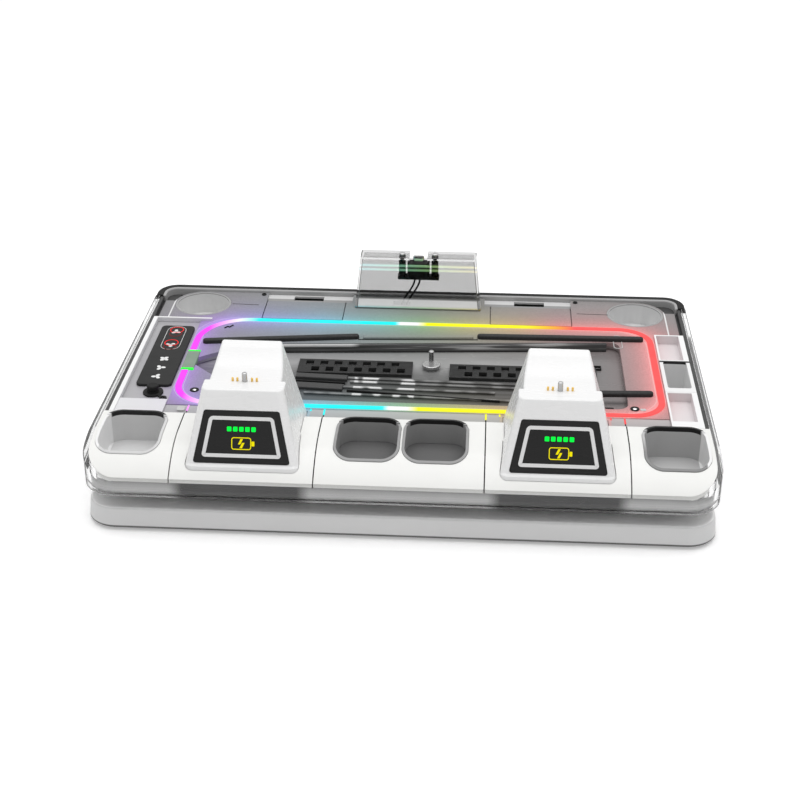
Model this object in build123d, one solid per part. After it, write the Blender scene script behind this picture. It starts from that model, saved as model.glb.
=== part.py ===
from build123d import *
import os
from math import atan2, cos, degrees, hypot, radians, sin, sqrt, tan

# A charging station for two controllers: a clear-walled deck on a slab base, with a console bay.
# Millimetres. X runs to the right, Y to the rear, Z up from the table, origin under the middle.

# Case
CASE_DEPTH = 270.0
CASE_HEIGHT = 24.0
CASE_WALL = 3.5
FRONT_CORNER = 22.0
REAR_CORNER = 15.0
NOSE_RADIUS = 58.6
NOSE_LENGTH = 42.0
RIM_WIDTH = 7.5
RIM_DEPTH = 6.0
RIM_WRAP = 21.5
RIM_EDGE = 1.0

# Fits between pieces that sit in each other
FIT = 0.2
SEAM = 0.8
RUNNING_FIT = 0.05

# Base
FOOT_HEIGHT = 2.0
FOOT_RADIUS = 9.0
SLAB_WIDTH = 400.0
SLAB_DEPTH = 263.0
SLAB_HEIGHT = 14.0
SLAB_CORNER = 20.0
SLAB_DRAFT = 6.0
SLAB_WALL = 2.6
SLAB_TOP_EDGE = 2.0
SLAB_LOW_EDGE = 1.0
COVER_THICKNESS = 3.0
SCREW_RADIUS = 1.5
SCREW_HEAD_RADIUS = 2.75
SCREW_HEAD_HEIGHT = 1.6
SCREW_LENGTH = 8.0
BOSS_RADIUS = 4.0
PEDESTAL_HEIGHT = 13.5
PEDESTAL_INSET = 35.0
PEDESTAL_CORNER = 14.0
PEDESTAL_WALL = 3.0
PEDESTAL_REAR_GAP = 26.0
VENT_WIDTH = 14.0
VENT_HEIGHT = 6.0
VENT_PITCH = 22.0

# Chassis and the frame on it
CHASSIS_FLOOR = 2.0
FRAME_WALL = 2.4
FRAME_DROP = 1.0
SHELF_THICKNESS = 1.6
CASE_SKIRT = 1.5
RIB = 2.0
SIDE_STRIP = 3.0

# Front modules, which together set the case's width
CENTRE_PANEL_WIDTH = 106.0
DOCK_PANEL_WIDTH = 90.3
END_PANEL_WIDTH = 56.7
PANEL_SKIN = 2.4
PANEL_DEPTH = 64.0
PANEL_STEP = 2.5
FLANGE_DEPTH = 14.8

# Grip pockets
POCKET_WALL = 1.6
POCKET_WIDTH = 38.4
POCKET_LENGTH = 42.6
POCKET_CORNER = 10.0
POCKET_DEPTH = 16.0
POCKET_REAR_GAP = 2.2
POCKET_PAIR_GAP = 1.6
POCKET_RIM = 0.6
POCKET_BROW = 1.4

# Docks, with half widths measured from the middle
FOOT_HALF_WIDTH = 37.0
LEDGE_HALF_WIDTH = 25.6
TOP_HALF_WIDTH = 18.8
LEDGE_RISE = 37.5
LEDGE_SETBACK = 27.0
LEDGE_DEPTH = 13.0
FACE_ANGLE = 69.4
BACKREST_DEPTH = 28.5
BACKREST_RISE = 9.0
STRIP_DEPTH = 7.2
STRIP_RISE = 3.4
FOOT_DROP = 13.5
TOE_RISE = 7.0
TOE_LIP = 1.4
TOE_SLOPE = 1.2
DOCK_SKIN = 2.4
DOCK_CORNER = 5.0
DOCK_EDGE = 1.4
STRIP_EDGE = 1.8
LENS_LOW = 8.4
LENS_HIGH = 41.6
LENS_SIDE_MARGIN = 4.9
LENS_THICKNESS = 1.0
LENS_PROUD = 0.2
LENS_CORNER = 1.5
HOUSING_SETBACK = 16.0
HOUSING_OVERHANG = 4.0
HOUSING_DEPTH = 42.0
HOUSING_CLEARANCE = 4.0
HOUSING_WALL = 2.0
HOUSING_FLANGE = 11.0
HOUSING_CORNER = 4.0
PIN_RADIUS = 0.7
PIN_STAND = 2.4
PIN_LENGTH = 8.9
PIN_TRAVEL = 1.5
PIN_OFFSETS = (-7.6, -4.6, 4.6, 7.6)
GUIDE_PIN_RADIUS = 1.7
GUIDE_PIN_STAND = 6.0
GUIDE_PIN_LENGTH = 11.0
CARRIER_HALF_WIDTH = 12.0
CARRIER_DEPTH = 9.0
CARRIER_HEIGHT = 8.0
BOARD_THICKNESS = 1.6
BOARD_STANDOFF = 2.0
CHARGE_BOARD_DEPTH = 30.0

# Console deck
DECK_RECESS = 2.0
DECK_THICKNESS = 3.0
GUIDE_WIDTH = 4.2
GUIDE_DEPTH = 2.0
GUIDE_PROUD = 0.5
GUIDE_EDGE = 1.0
GUIDE_REAR_GAP = 47.0
GUIDE_CORNERS = (28.0, 22.0, 24.0, 38.0)
COUPLER_WIDTH = 8.6
COUPLER_LENGTH = 30.4
COUPLER_OFFSET = 2.95
COUPLER_PROUD = 0.8
CHANNEL_DEPTH = 13.8
CHANNEL_DROP = 1.5
POST_SEAT_HALF_WIDTH = 50.0
NOTCH_OFFSET = 29.5
NOTCH_WIDTH = 22.6
NOTCH_DEPTH = 7.4
NOTCH_SHIFT = 1.5
LID_POST_GAP = 4.2
LID_CUP_GAP = 24.7
LID_THICKNESS = 2.0
CUP_INSET = 38.0
CUP_RADIUS = 19.4
CUP_WALL = 1.4
CUP_DEPTH = 16.0
CUP_MARGIN = 1.5
WING_WIDTH = 7.5
WING_THICKNESS = 1.5

# Console bay
BAY_DEPTH = 6.0
BAY_NOSE_GAP = 2.5
BAY_REAR_LEFT_GAP = 40.5
BAY_FRONT_LEFT_GAP = 54.5
BAY_RIGHT_GAP = 25.5
BAY_FRONT_GAP = 11.5
BAY_REAR_GAP = 23.3
BAY_SLANT = 19.0
BAY_CORNERS = (4.0, 14.0, 8.0, 8.0, 12.0)
DUCT_RIBS = ((94.0, 52.0, 0.0), (115.0, 31.0, 0.17), (67.0, 88.0, 0.37), (85.0, 21.0, 0.71))
DUCT_RIB_REAR_GAP = 3.9
DUCT_RIB_FRONT_GAP = 8.0
DUCT_RIB_WIDTH = 2.4
DUCT_RIB_HEIGHT = 1.2
DUCT_RIB_TURN = -1.5
LINER_FLOOR = 2.0
LINER_WALL = 1.6
GRILLE_THICKNESS = 2.4
GRILLE_DEPTH = 20.5
GRILLE_LEFT_GAP = 25.0
GRILLE_MIDDLE_GAP = 13.0
GRILLE_RIGHT_GAP = 18.0
GRILLE_REAR_GAPS = (14.0, 16.0)
GRILLE_BORDER = 2.6
SLOT_PITCH = 10.0
SLOT_SHARE = 0.55
BAR_WIDTH = 5.0
BAR_HEIGHT = 2.8
BAR_EDGE = 1.0
BAR_REAR_GAP = 20.0
BAR_LEFT_DROP = 8.2
BAR_LEFT_SLANT = 14.0
BAR_END_GAP = 10.5
BAR_INNER_LEFT = -42.0
BAR_INNER_RIGHT = 48.0
BAR_FRONT_GAP = 29.8
BAR_FRONT_LENGTH = 42.0
SCREW_X = 14.0
SCREW_REAR_GAP = 19.0
THUMB_RADIUS = 6.5
THUMB_HEIGHT = 2.4
THUMB_SEAT = 1.5
STUD_RADIUS = 1.75
STUD_RISE = 10.0
STUD_TAIL = 5.0

# Fans
FAN_X = 7.0
FAN_SPACING = 100.0
FAN_REAR_GAP = 24.0
FAN_SIZE = 66.0
FAN_BORE = 31.0
FAN_CORNER = 3.0
FAN_BASE = 2.0
FAN_SPOKE = 3.0
ROTOR_RADIUS = 29.6
HUB_RADIUS = 11.0
HUB_WALL = 1.5
HUB_GAP = 0.6
BLADES = 9
BLADE_THICKNESS = 1.2
BLADE_PITCH = 32.0
BEARING_RADIUS = 4.0
SHAFT_RADIUS = 1.5

# Control tray on the left, card trays on the right
CONTROL_TRAY_WIDTH = 34.8
CONTROL_TRAY_GAP = 4.5
TRAY_FLOOR = 1.5
TRAY_RECESS = 3.5
TRAY_LEFT_WALL = 3.0
TRAY_REAR_WALL = 1.6
TRAY_REAR_REACH = 8.6
TRAY_STEP_LENGTH = 20.0
TRAY_STEP_DROP = 1.0
PLATE_WIDTH = 24.2
PLATE_THICKNESS = 2.0
PLATE_CORNER = 3.5
PLATE_SIDE_GAP = 2.0
PLATE_REAR_GAP = 11.9
PLATE_FRONT_GAP = 41.4
PLUG_SIDE_GAP = 12.3
PLUG_GAP = 8.6
PLUG_BASE_RADIUS = 6.8
PLUG_BASE_HEIGHT = 1.2
PLUG_CAP_RADIUS = 4.0
PLUG_CAP_HEIGHT = 5.0
PLUG_STEM_RADIUS = 2.6
PLUG_STEM_HOLE = 2.8
TETHER_REACH = 8.2
TETHER_RADIUS = 2.6
TETHER_WIDTH = 2.0
CARD_TRAY_WIDTH = 20.8
CARD_TRAY_DEPTH = 6.7
CARD_TRAY_GAP = 13.1
CARD_FRONT_LENGTH = 49.9
SIDE_POCKET_LENGTH = 46.8
CARD_FRONT_WALL = 8.8
CARD_WALL = 1.2
CARD_OUTER_WALL = 3.6
SIDE_POCKET_SILL = 5.8
SIDE_POCKET_CORNER = 3.0
SIDE_FLANGE = 1.5

# Rear post
POST_FRONT_GAP = 23.5
POST_REAR_GAP = 3.2
POST_TOP_LEAN = 5.2
POST_HEIGHT = 39.1
POST_FOOT_HALF = 47.3
POST_TOP_HALF = 43.0
POST_WALL = 2.2
POST_EDGE = 2.0
POST_NOTCH_WIDTH = 13.2
POST_NOTCH_DEPTH = 5.6
CONNECTOR_HALF = 8.2
CONNECTOR_DEPTH = 8.0
CONNECTOR_HEIGHT = 11.0
CONNECTOR_CORNER = 2.5
EAR_HALF = 15.4
EAR_THICKNESS = 1.8
STANDOFF_X = 12.2
STANDOFF_RADIUS = 2.6
TONGUE_WIDTH = 8.4
TONGUE_DEPTH = 2.6
TONGUE_HEIGHT = 4.6
TONGUE_WALL = 0.5
POST_SCREW_HEAD = 2.4
LEAD_RADIUS = 0.7
LEAD_PITCH = 3.8
LEAD_SLOT = (-19.0, -6.0, 4.0)
LEAD_ROUTE = (
    (-2.8, 0.0, 22.6),
    (-2.8, 0.0, 17.0),
    (-6.6, -0.8, 10.0),
    (-11.4, -2.0, 3.4),
    (-13.6, -2.4, -5.0),
)
LEAD_BENDS = (13.0, 40.0, 24.0)

# Main board and power inlet
MAIN_BOARD_LEFT = -40.0
MAIN_BOARD_RIGHT = 80.0
MAIN_BOARD_DEPTH = 44.0
MAIN_BOARD_REAR_GAP = 13.0
INLET_X = 60.0
INLET_WIDTH = 9.0
INLET_HEIGHT = 3.3
INLET_WALL = 0.4
INLET_TONGUE = 0.8
INLET_LENGTH = 17.0

# Levels that follow from the heights above
SLAB_TOP = FOOT_HEIGHT + SLAB_HEIGHT
CHASSIS_BOTTOM = SLAB_TOP + PEDESTAL_HEIGHT
CASE_BOTTOM = CHASSIS_BOTTOM - CASE_SKIRT
RIM_TOP = CHASSIS_BOTTOM + CASE_HEIGHT
FLOOR_TOP = CHASSIS_BOTTOM + CHASSIS_FLOOR
DECK_TOP = RIM_TOP - DECK_RECESS
DECK_BOTTOM = DECK_TOP - DECK_THICKNESS
BAY_FLOOR = DECK_TOP - BAY_DEPTH
LINER_BOTTOM = BAY_FLOOR - LINER_FLOOR
LEDGE_TOP = RIM_TOP + LEDGE_RISE
DOCK_FOOT = RIM_TOP - FOOT_DROP
HOUSING_BOTTOM = SLAB_TOP + HOUSING_CLEARANCE
TRAY_TOP = RIM_TOP - TRAY_RECESS

# Plan positions that follow from the sizes above
INNER_SEAM = CENTRE_PANEL_WIDTH / 2
OUTER_SEAM = INNER_SEAM + DOCK_PANEL_WIDTH
CASE_WIDTH = 2 * (OUTER_SEAM + END_PANEL_WIDTH)
CASE_FRONT = -CASE_DEPTH / 2
CASE_REAR = CASE_DEPTH / 2
INNER = CASE_WALL + FIT
NOSE_START = CASE_FRONT + NOSE_LENGTH
PANEL_REAR = CASE_FRONT + PANEL_DEPTH
DECK_FRONT = PANEL_REAR + FLANGE_DEPTH + FIT
DECK_REAR = CASE_REAR - RIM_WIDTH - FIT
TRAY_OUTER = CASE_WIDTH / 2 - CASE_WALL - SIDE_STRIP
CONTROL_TRAY_RIGHT = -TRAY_OUTER + CONTROL_TRAY_WIDTH
CARD_TRAY_LEFT = TRAY_OUTER - CARD_TRAY_WIDTH
DECK_LEFT = CONTROL_TRAY_RIGHT + FIT
DECK_RIGHT = CARD_TRAY_LEFT - FIT
CUP_CORNER = CUP_RADIUS + CUP_WALL + FIT + CUP_MARGIN
CUP_X = CASE_WIDTH / 2 - CUP_INSET
CUP_Y = DECK_REAR - CUP_CORNER
LID_INNER = POST_SEAT_HALF_WIDTH + LID_POST_GAP
LID_OUTER = CUP_X - CUP_CORNER - LID_CUP_GAP
CHANNEL_END = LID_OUTER + FIT
NOTCH_X = LID_INNER + NOTCH_OFFSET
GUIDE_REAR = DECK_REAR - GUIDE_REAR_GAP
DOCK_X = OUTER_SEAM - DOCK_PANEL_WIDTH / 2
HOUSING_HALF_WIDTH = FOOT_HALF_WIDTH + HOUSING_OVERHANG
CHARGE_BOARD_WIDTH = 2 * HOUSING_HALF_WIDTH - 2 * HOUSING_FLANGE
CENTRE_POCKET_X = POCKET_PAIR_GAP / 2 + POCKET_WALL + POCKET_WIDTH / 2
POCKET_REAR = PANEL_REAR - POCKET_REAR_GAP
POCKET_Y = POCKET_REAR - POCKET_LENGTH / 2
END_POCKET_X = CASE_WIDTH / 2 - INNER - FRAME_WALL - FIT - POCKET_WALL - POCKET_WIDTH / 2
LEDGE_FRONT = CASE_FRONT + LEDGE_SETBACK
LEDGE_BACK = LEDGE_FRONT + LEDGE_DEPTH
PIN_Y = LEDGE_BACK - PIN_RADIUS
HOUSING_FRONT = CASE_FRONT + HOUSING_SETBACK
HOUSING_REAR = HOUSING_FRONT + HOUSING_DEPTH
CHASSIS_FRONT = PANEL_REAR - PANEL_SKIN - SEAM
PEDESTAL_WIDTH = CASE_WIDTH - 2 * PEDESTAL_INSET
PEDESTAL_REAR = CASE_REAR - PEDESTAL_REAR_GAP
PEDESTAL_DEPTH = PEDESTAL_REAR - PANEL_REAR
PEDESTAL_Y = (PEDESTAL_REAR + PANEL_REAR) / 2
BAY_LEFT = DECK_LEFT + BAY_NOSE_GAP
BAY_RIGHT = DECK_RIGHT - BAY_RIGHT_GAP
BAY_FRONT = DECK_FRONT + BAY_FRONT_GAP
BAY_REAR = GUIDE_REAR - BAY_REAR_GAP
BAY_Y = (BAY_FRONT + BAY_REAR) / 2
BAY_SHOULDER = BAY_REAR - BAY_SLANT
COUPLER_Y = BAY_Y + COUPLER_OFFSET
COUPLER_FRONT = COUPLER_Y - COUPLER_LENGTH / 2
COUPLER_REAR = COUPLER_FRONT + COUPLER_LENGTH
SCREW_Y = BAY_SHOULDER - SCREW_REAR_GAP
FAN_Y = BAY_SHOULDER - FAN_REAR_GAP
CONTROL_TRAY_REAR = GUIDE_REAR - CONTROL_TRAY_GAP
PLATE_X = CONTROL_TRAY_RIGHT - PLATE_SIDE_GAP - PLATE_WIDTH / 2
PLATE_REAR = CONTROL_TRAY_REAR - PLATE_REAR_GAP
PLATE_FRONT = PANEL_REAR + PLATE_FRONT_GAP
PLUG_X = CONTROL_TRAY_RIGHT - PLUG_SIDE_GAP
PLUG_Y = PLATE_FRONT - PLUG_GAP
CARD_REAR = GUIDE_REAR - CARD_TRAY_GAP
CARD_FRONT_END = PANEL_REAR + CARD_FRONT_LENGTH
SIDE_POCKET_END = CARD_FRONT_END + SIDE_POCKET_LENGTH
POST_FRONT = DECK_REAR - POST_FRONT_GAP
POST_REAR = DECK_REAR - POST_REAR_GAP
POST_TOP = DECK_TOP + POST_HEIGHT
POST_Y = POST_FRONT + POST_TOP_LEAN + (POST_REAR - POST_FRONT - POST_TOP_LEAN) / 2
MAIN_BOARD_REAR = CASE_REAR - MAIN_BOARD_REAR_GAP
FAR = CASE_WIDTH + CASE_DEPTH


def box(x_range, y_range, z_range):
    """A box between two values along each axis."""
    size = [high - low for low, high in (x_range, y_range, z_range)]
    corner = Pos(x_range[0], y_range[0], z_range[0])
    return corner * Box(*size, align=(Align.MIN, Align.MIN, Align.MIN))


def plate(outline, low, high):
    """A plate over a flat outline, from one height to another."""
    return extrude(Pos(0, 0, low) * outline, amount=high - low)


def disc(x, y, radius, low, high):
    """An upright round bar."""
    return plate(Pos(x, y) * Circle(radius), low, high)


def rounded(points, radii):
    """A flat outline with a radius at each corner."""
    return make_face(FilletPolyline(*points, radius=radii, close=True))


def rectangle(x_range, y_range, radii):
    """A flat rectangle with radii at front left, front right, rear right and rear left."""
    left, right = x_range
    front, rear = y_range
    return rounded([(left, front), (right, front), (right, rear), (left, rear)], radii)


def mirrored(side, x_range):
    """The same range of X on the left, side -1, or on the right, side 1."""
    return x_range if side > 0 else (-x_range[1], -x_range[0])


def case_outline(inset):
    """Plan outline of the case, drawn in from its outer face."""
    half = CASE_WIDTH / 2 - inset
    front = FRONT_CORNER - inset
    rear = REAR_CORNER - inset
    return rectangle((-half, half), (CASE_FRONT + inset, CASE_REAR - inset), (front, front, rear, rear))


def under_skin(drop):
    """All that lies under the top skin, lowered by drop: flat, then rolled over towards the front."""
    flat = Pos(NOSE_START + FAR / 2, RIM_TOP - drop - FAR / 2) * Rectangle(FAR, FAR)
    nose = Pos(NOSE_START, RIM_TOP - NOSE_RADIUS) * Circle(NOSE_RADIUS - drop)
    return extrude(Plane.YZ * (flat + nose), amount=FAR / 2, both=True)


def cylinder_hole(x, y, radius):
    """A tall round cutter."""
    return disc(x, y, radius, -FAR, FAR)


# Base


def slab_outline(inset):
    half = SLAB_WIDTH / 2 - inset
    depth = SLAB_DEPTH / 2 - inset
    return rectangle((-half, half), (-depth, depth), [SLAB_CORNER - inset] * 4)


def screw_places():
    """Plan positions of the screws that hold the cover, inside the feet."""
    x = SLAB_WIDTH / 2 - SLAB_CORNER - 2 * FOOT_RADIUS - BOSS_RADIUS
    y = SLAB_DEPTH / 2 - SLAB_CORNER - BOSS_RADIUS
    return [(side * x, end * y) for side in (-1, 0, 1) for end in (-1, 1)]


def base_pieces():
    cover_top = FOOT_HEIGHT + COVER_THICKNESS
    ceiling = SLAB_TOP - SLAB_WALL
    slab = extrude(Pos(0, 0, FOOT_HEIGHT) * slab_outline(0), amount=SLAB_HEIGHT, taper=SLAB_DRAFT)
    slab = fillet(slab.faces().sort_by(Axis.Z)[-1].edges(), SLAB_TOP_EDGE)
    slab = chamfer(slab.faces().sort_by(Axis.Z)[0].edges(), SLAB_LOW_EDGE)
    room = Pos(0, 0, FOOT_HEIGHT) * slab_outline(SLAB_WALL)
    slab -= extrude(room, amount=ceiling - FOOT_HEIGHT, taper=SLAB_DRAFT)
    cover_inset = SLAB_WALL + FIT + COVER_THICKNESS * tan(radians(SLAB_DRAFT))
    cover = plate(slab_outline(cover_inset), FOOT_HEIGHT, cover_top)
    head_low = FOOT_HEIGHT + FIT
    head_top = head_low + SCREW_HEAD_HEIGHT
    screws = []
    for x, y in screw_places():
        bore = SCREW_RADIUS + RUNNING_FIT
        slab += disc(x, y, BOSS_RADIUS, cover_top, ceiling)
        slab -= disc(x, y, bore, cover_top, head_top + SCREW_LENGTH + FIT)
        cover -= cylinder_hole(x, y, bore)
        cover -= disc(x, y, SCREW_HEAD_RADIUS + FIT, FOOT_HEIGHT, head_top)
        head = disc(x, y, SCREW_HEAD_RADIUS, head_low, head_top)
        screws.append(head + disc(x, y, SCREW_RADIUS, head_top, head_top + SCREW_LENGTH))
    foot_x = SLAB_WIDTH / 2 - SLAB_CORNER - FOOT_RADIUS / 2
    foot_y = SLAB_DEPTH / 2 - SLAB_CORNER
    feet = [disc(a * foot_x, b * foot_y, FOOT_RADIUS, 0, FOOT_HEIGHT) for a in (-1, 1) for b in (-1, 1)]
    return {
        "base_slab": slab,
        "base_cover": cover,
        "rubber_feet": Compound(feet),
        "housing_screws": Compound(screws),
        "pedestal": pedestal(),
    }


def pedestal():
    """Neck between slab and deck: a low wall with air vents for the fans."""
    outer = Pos(0, PEDESTAL_Y) * RectangleRounded(PEDESTAL_WIDTH, PEDESTAL_DEPTH, PEDESTAL_CORNER)
    inner_width = PEDESTAL_WIDTH - 2 * PEDESTAL_WALL
    inner_depth = PEDESTAL_DEPTH - 2 * PEDESTAL_WALL
    inner = Pos(0, PEDESTAL_Y) * RectangleRounded(inner_width, inner_depth, PEDESTAL_CORNER - PEDESTAL_WALL)
    neck = plate(outer - inner, SLAB_TOP, CHASSIS_BOTTOM)
    middle = SLAB_TOP + PEDESTAL_HEIGHT / 2
    across = int((PEDESTAL_WIDTH - 2 * PEDESTAL_CORNER) / VENT_PITCH)
    along = int((PEDESTAL_DEPTH - 2 * PEDESTAL_CORNER) / VENT_PITCH)
    for place in GridLocations(VENT_PITCH, 1, across, 1):
        vent = Pos(0, PEDESTAL_Y, middle) * Box(VENT_WIDTH, PEDESTAL_DEPTH + 1, VENT_HEIGHT)
        neck -= place * vent
    for place in GridLocations(1, VENT_PITCH, 1, along):
        vent = Pos(0, PEDESTAL_Y, middle) * Box(PEDESTAL_WIDTH + 1, VENT_WIDTH, VENT_HEIGHT)
        neck -= place * vent
    return neck


# Case


def fan_places():
    return [(FAN_X + side * FAN_SPACING / 2, FAN_Y) for side in (-1, 1)]


def inlet_opening():
    """The slot in the rear wall that shows the power inlet."""
    low = FLOOR_TOP + BOARD_STANDOFF + BOARD_THICKNESS
    x_range = (INLET_X - INLET_WIDTH / 2 - FIT, INLET_X + INLET_WIDTH / 2 + FIT)
    return box(x_range, (MAIN_BOARD_REAR, FAR), (low - FIT, low + INLET_HEIGHT + FIT))


def room_behind(y):
    """All that lies behind a given Y."""
    return box((-FAR, FAR), (y, FAR), (-FAR, FAR))


def dock_wells():
    """Openings in the floor for the two dock housings."""
    wells = []
    for side in (-1, 1):
        x_range = mirrored(side, (DOCK_X - HOUSING_HALF_WIDTH - FIT, DOCK_X + HOUSING_HALF_WIDTH + FIT))
        wells.append(box(x_range, (HOUSING_FRONT - FIT, HOUSING_REAR + FIT), (CASE_BOTTOM, FLOOR_TOP)))
    return wells


def chassis_tray():
    """Dark floor under the deck, with posts for the cups and the main board and rings of fan intakes."""
    tray = plate(case_outline(INNER), CHASSIS_BOTTOM, FLOOR_TOP) & room_behind(CHASSIS_FRONT)
    for side in (-1, 1):
        cup_bottom = DECK_TOP - CUP_DEPTH - CUP_WALL
        tray += disc(side * CUP_X, CUP_Y, CUP_RADIUS / 2, FLOOR_TOP, cup_bottom)
    for x, y in board_posts():
        tray += disc(x, y, BOSS_RADIUS / 2, FLOOR_TOP, FLOOR_TOP + BOARD_STANDOFF)
    for x, y in fan_places():
        intake = Pos(x, y) * (Circle(FAN_BORE - FAN_BASE) - Circle(HUB_RADIUS))
        for turn in (45, 135):
            intake -= Pos(x, y) * Rot(0, 0, turn) * Rectangle(FAN_SIZE, FAN_SPOKE)
        tray -= plate(intake, CHASSIS_BOTTOM, FLOOR_TOP)
    for well in dock_wells():
        tray -= well
    return tray


def corner_shelf(side, front):
    """Dark ledge beside a cup, with a gusset across the corner of the case."""
    edge = CASE_WIDTH / 2 - INNER
    rear = CASE_REAR - INNER
    cup = CUP_RADIUS + CUP_WALL + FIT
    leg = edge - CUP_X + rear - CUP_Y - sqrt(2) * cup
    points = [(side * edge, rear), (side * (edge - leg), rear), (side * edge, rear - leg)]
    gusset = Polygon(*points, align=None)
    high = DECK_BOTTOM - FIT
    shelf = plate(gusset, high - SHELF_THICKNESS, high)
    strip = mirrored(side, (CUP_X + cup, edge))
    shelf += box(strip, (front, rear), (high - SHELF_THICKNESS, high))
    return shelf & plate(case_outline(INNER), FLOOR_TOP, RIM_TOP)


def inner_frame():
    """Dark frame that stands on the chassis: side and rear walls, corner shelves, rails and ribs."""
    ring = case_outline(INNER) - case_outline(INNER + FRAME_WALL)
    frame = plate(ring, FLOOR_TOP, RIM_TOP - FRAME_DROP) & room_behind(PANEL_REAR + FIT)
    frame += corner_shelf(-1, CONTROL_TRAY_REAR + FIT)
    frame += corner_shelf(1, CARD_REAR + FIT)
    rim_room = plate(case_outline(0) - case_outline(RIM_WIDTH + FIT), RIM_TOP - RIM_DEPTH - FIT, RIM_TOP)
    frame -= rim_room & room_behind(CASE_REAR - RIM_WRAP - FIT)
    front_rail = DECK_FRONT + GUIDE_EDGE
    rear_rail = GUIDE_REAR - 2 * GUIDE_WIDTH - RIB
    for y in (front_rail, rear_rail):
        frame += box((DECK_LEFT, DECK_RIGHT), (y, y + RIB), (FLOOR_TOP, DECK_BOTTOM))
    side_wall = CASE_WIDTH / 2 - INNER
    tray_bottom = TRAY_TOP - TRAY_FLOOR
    card_bottom = RIM_TOP - CARD_TRAY_DEPTH - TRAY_FLOOR
    for y in (PLATE_FRONT, PLATE_REAR - RIB):
        frame += box((-side_wall, CONTROL_TRAY_RIGHT), (y, y + RIB), (FLOOR_TOP, tray_bottom))
    for y in ((PANEL_REAR + CARD_FRONT_END) / 2, (SIDE_POCKET_END + CARD_REAR) / 2):
        frame += box((CARD_TRAY_LEFT, side_wall), (y, y + RIB), (FLOOR_TOP, card_bottom))
    return frame - inlet_opening()


def case_pieces():
    rim_seat = RIM_TOP - RIM_DEPTH
    rim_front = CASE_REAR - RIM_WRAP
    wall = case_outline(0) - case_outline(CASE_WALL)
    case = plate(wall, CASE_BOTTOM, RIM_TOP) & under_skin(0)
    front_floor = plate(case_outline(CASE_WALL), CHASSIS_BOTTOM, FLOOR_TOP)
    case += front_floor - room_behind(CHASSIS_FRONT - FIT)
    for well in dock_wells():
        case -= well
    case -= box((-FAR, FAR), (rim_front, FAR), (rim_seat, FAR))
    case -= inlet_opening()
    rim = plate(case_outline(0) - case_outline(RIM_WIDTH), rim_seat, RIM_TOP)
    rim &= box((-FAR, FAR), (rim_front + FIT, FAR), (0, FAR))
    top = rim.faces().sort_by(Axis.Z)[-1]
    rim = fillet(top.edges(), RIM_EDGE)
    return {
        "chassis_tray": chassis_tray(),
        "inner_frame": inner_frame(),
        "clear_case": case,
        "rear_rim": rim,
    }


# Front modules


def dock_side(inset, foot):
    """Dock seen from its side as Y and Z: sloping face, seat ledge, hollow backrest and top strip."""
    toe = DOCK_FOOT + TOE_RISE
    run = (LEDGE_TOP - toe) / tan(radians(FACE_ANGLE))
    face_toe = (LEDGE_FRONT - run, toe)
    lip = (face_toe[0] - TOE_LIP, toe - TOE_SLOPE)
    ledge_front = (LEDGE_FRONT, LEDGE_TOP)
    ledge_back = (LEDGE_BACK, LEDGE_TOP)
    strip_front = (LEDGE_BACK + BACKREST_DEPTH, LEDGE_TOP + BACKREST_RISE)
    strip_back = (strip_front[0] + STRIP_DEPTH, strip_front[1] + STRIP_RISE)
    foot_line = [(strip_back[0], foot), (lip[0], foot)]
    outline = Polyline(strip_front, strip_back, *foot_line, lip, face_toe, ledge_front, ledge_back)
    backrest = TangentArc(ledge_back, strip_front, tangent=(1, 0))
    side = make_face(outline + backrest)
    if inset:
        side = offset(side, amount=-inset, kind=Kind.INTERSECTION)
    return extrude(Plane.YZ * side, amount=FAR / 2, both=True)


def dock_front(half_top, top, inset):
    """Dock seen from the front: a trapezoid with leaning sides, from the foot to a given top."""
    lean = (FOOT_HALF_WIDTH - half_top) / (top - DOCK_FOOT)
    shift = inset * sqrt(1 + lean * lean)
    low = DOCK_FOOT - 4 * DOCK_SKIN
    high = top + DOCK_SKIN
    half_low = FOOT_HALF_WIDTH + lean * (DOCK_FOOT - low) - shift
    half_high = half_top - lean * (high - top) - shift
    sheet = Polygon((-half_low, low), (half_low, low), (half_high, high), (-half_high, high), align=None)
    return extrude(Plane.XZ * sheet, amount=FAR / 2, both=True)


def dock_form(inset, foot):
    """Solid form of a dock about X = 0: a leaning tower with a wider ledge block in front."""
    top = LEDGE_TOP + BACKREST_RISE + STRIP_RISE
    tower = dock_front(TOP_HALF_WIDTH, top, inset)
    ledge = dock_front(LEDGE_HALF_WIDTH, LEDGE_TOP, inset)
    ledge &= box((-FAR, FAR), (-FAR, LEDGE_BACK - inset), (-FAR, FAR))
    return dock_side(inset, foot) & (tower + ledge)


def round_corners(form, radius):
    """Dock form with the two upright corners of its front rounded."""
    front = [face for face in form.faces() if face.normal_at().Y < -0.5 and face.center().Y < LEDGE_FRONT]
    corners = [edge for face in front for edge in face.edges() if abs(edge.tangent_at(0.5).X) < 0.5]
    return fillet(corners, radius)


def dock_opening():
    """Opening in a panel for a dock: the dock's form grown by a gap and carried straight down."""
    gap = 2 * FIT
    above = box((-FAR, FAR), (-FAR, FAR), (DOCK_FOOT + PANEL_SKIN / 2, FAR))
    form = round_corners(dock_form(-gap, DOCK_FOOT) & above, DOCK_CORNER + gap)
    foot = form.faces().sort_by(Axis.Z)[0]
    return form + extrude(foot, amount=PANEL_SKIN, dir=(0, 0, -1))


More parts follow.
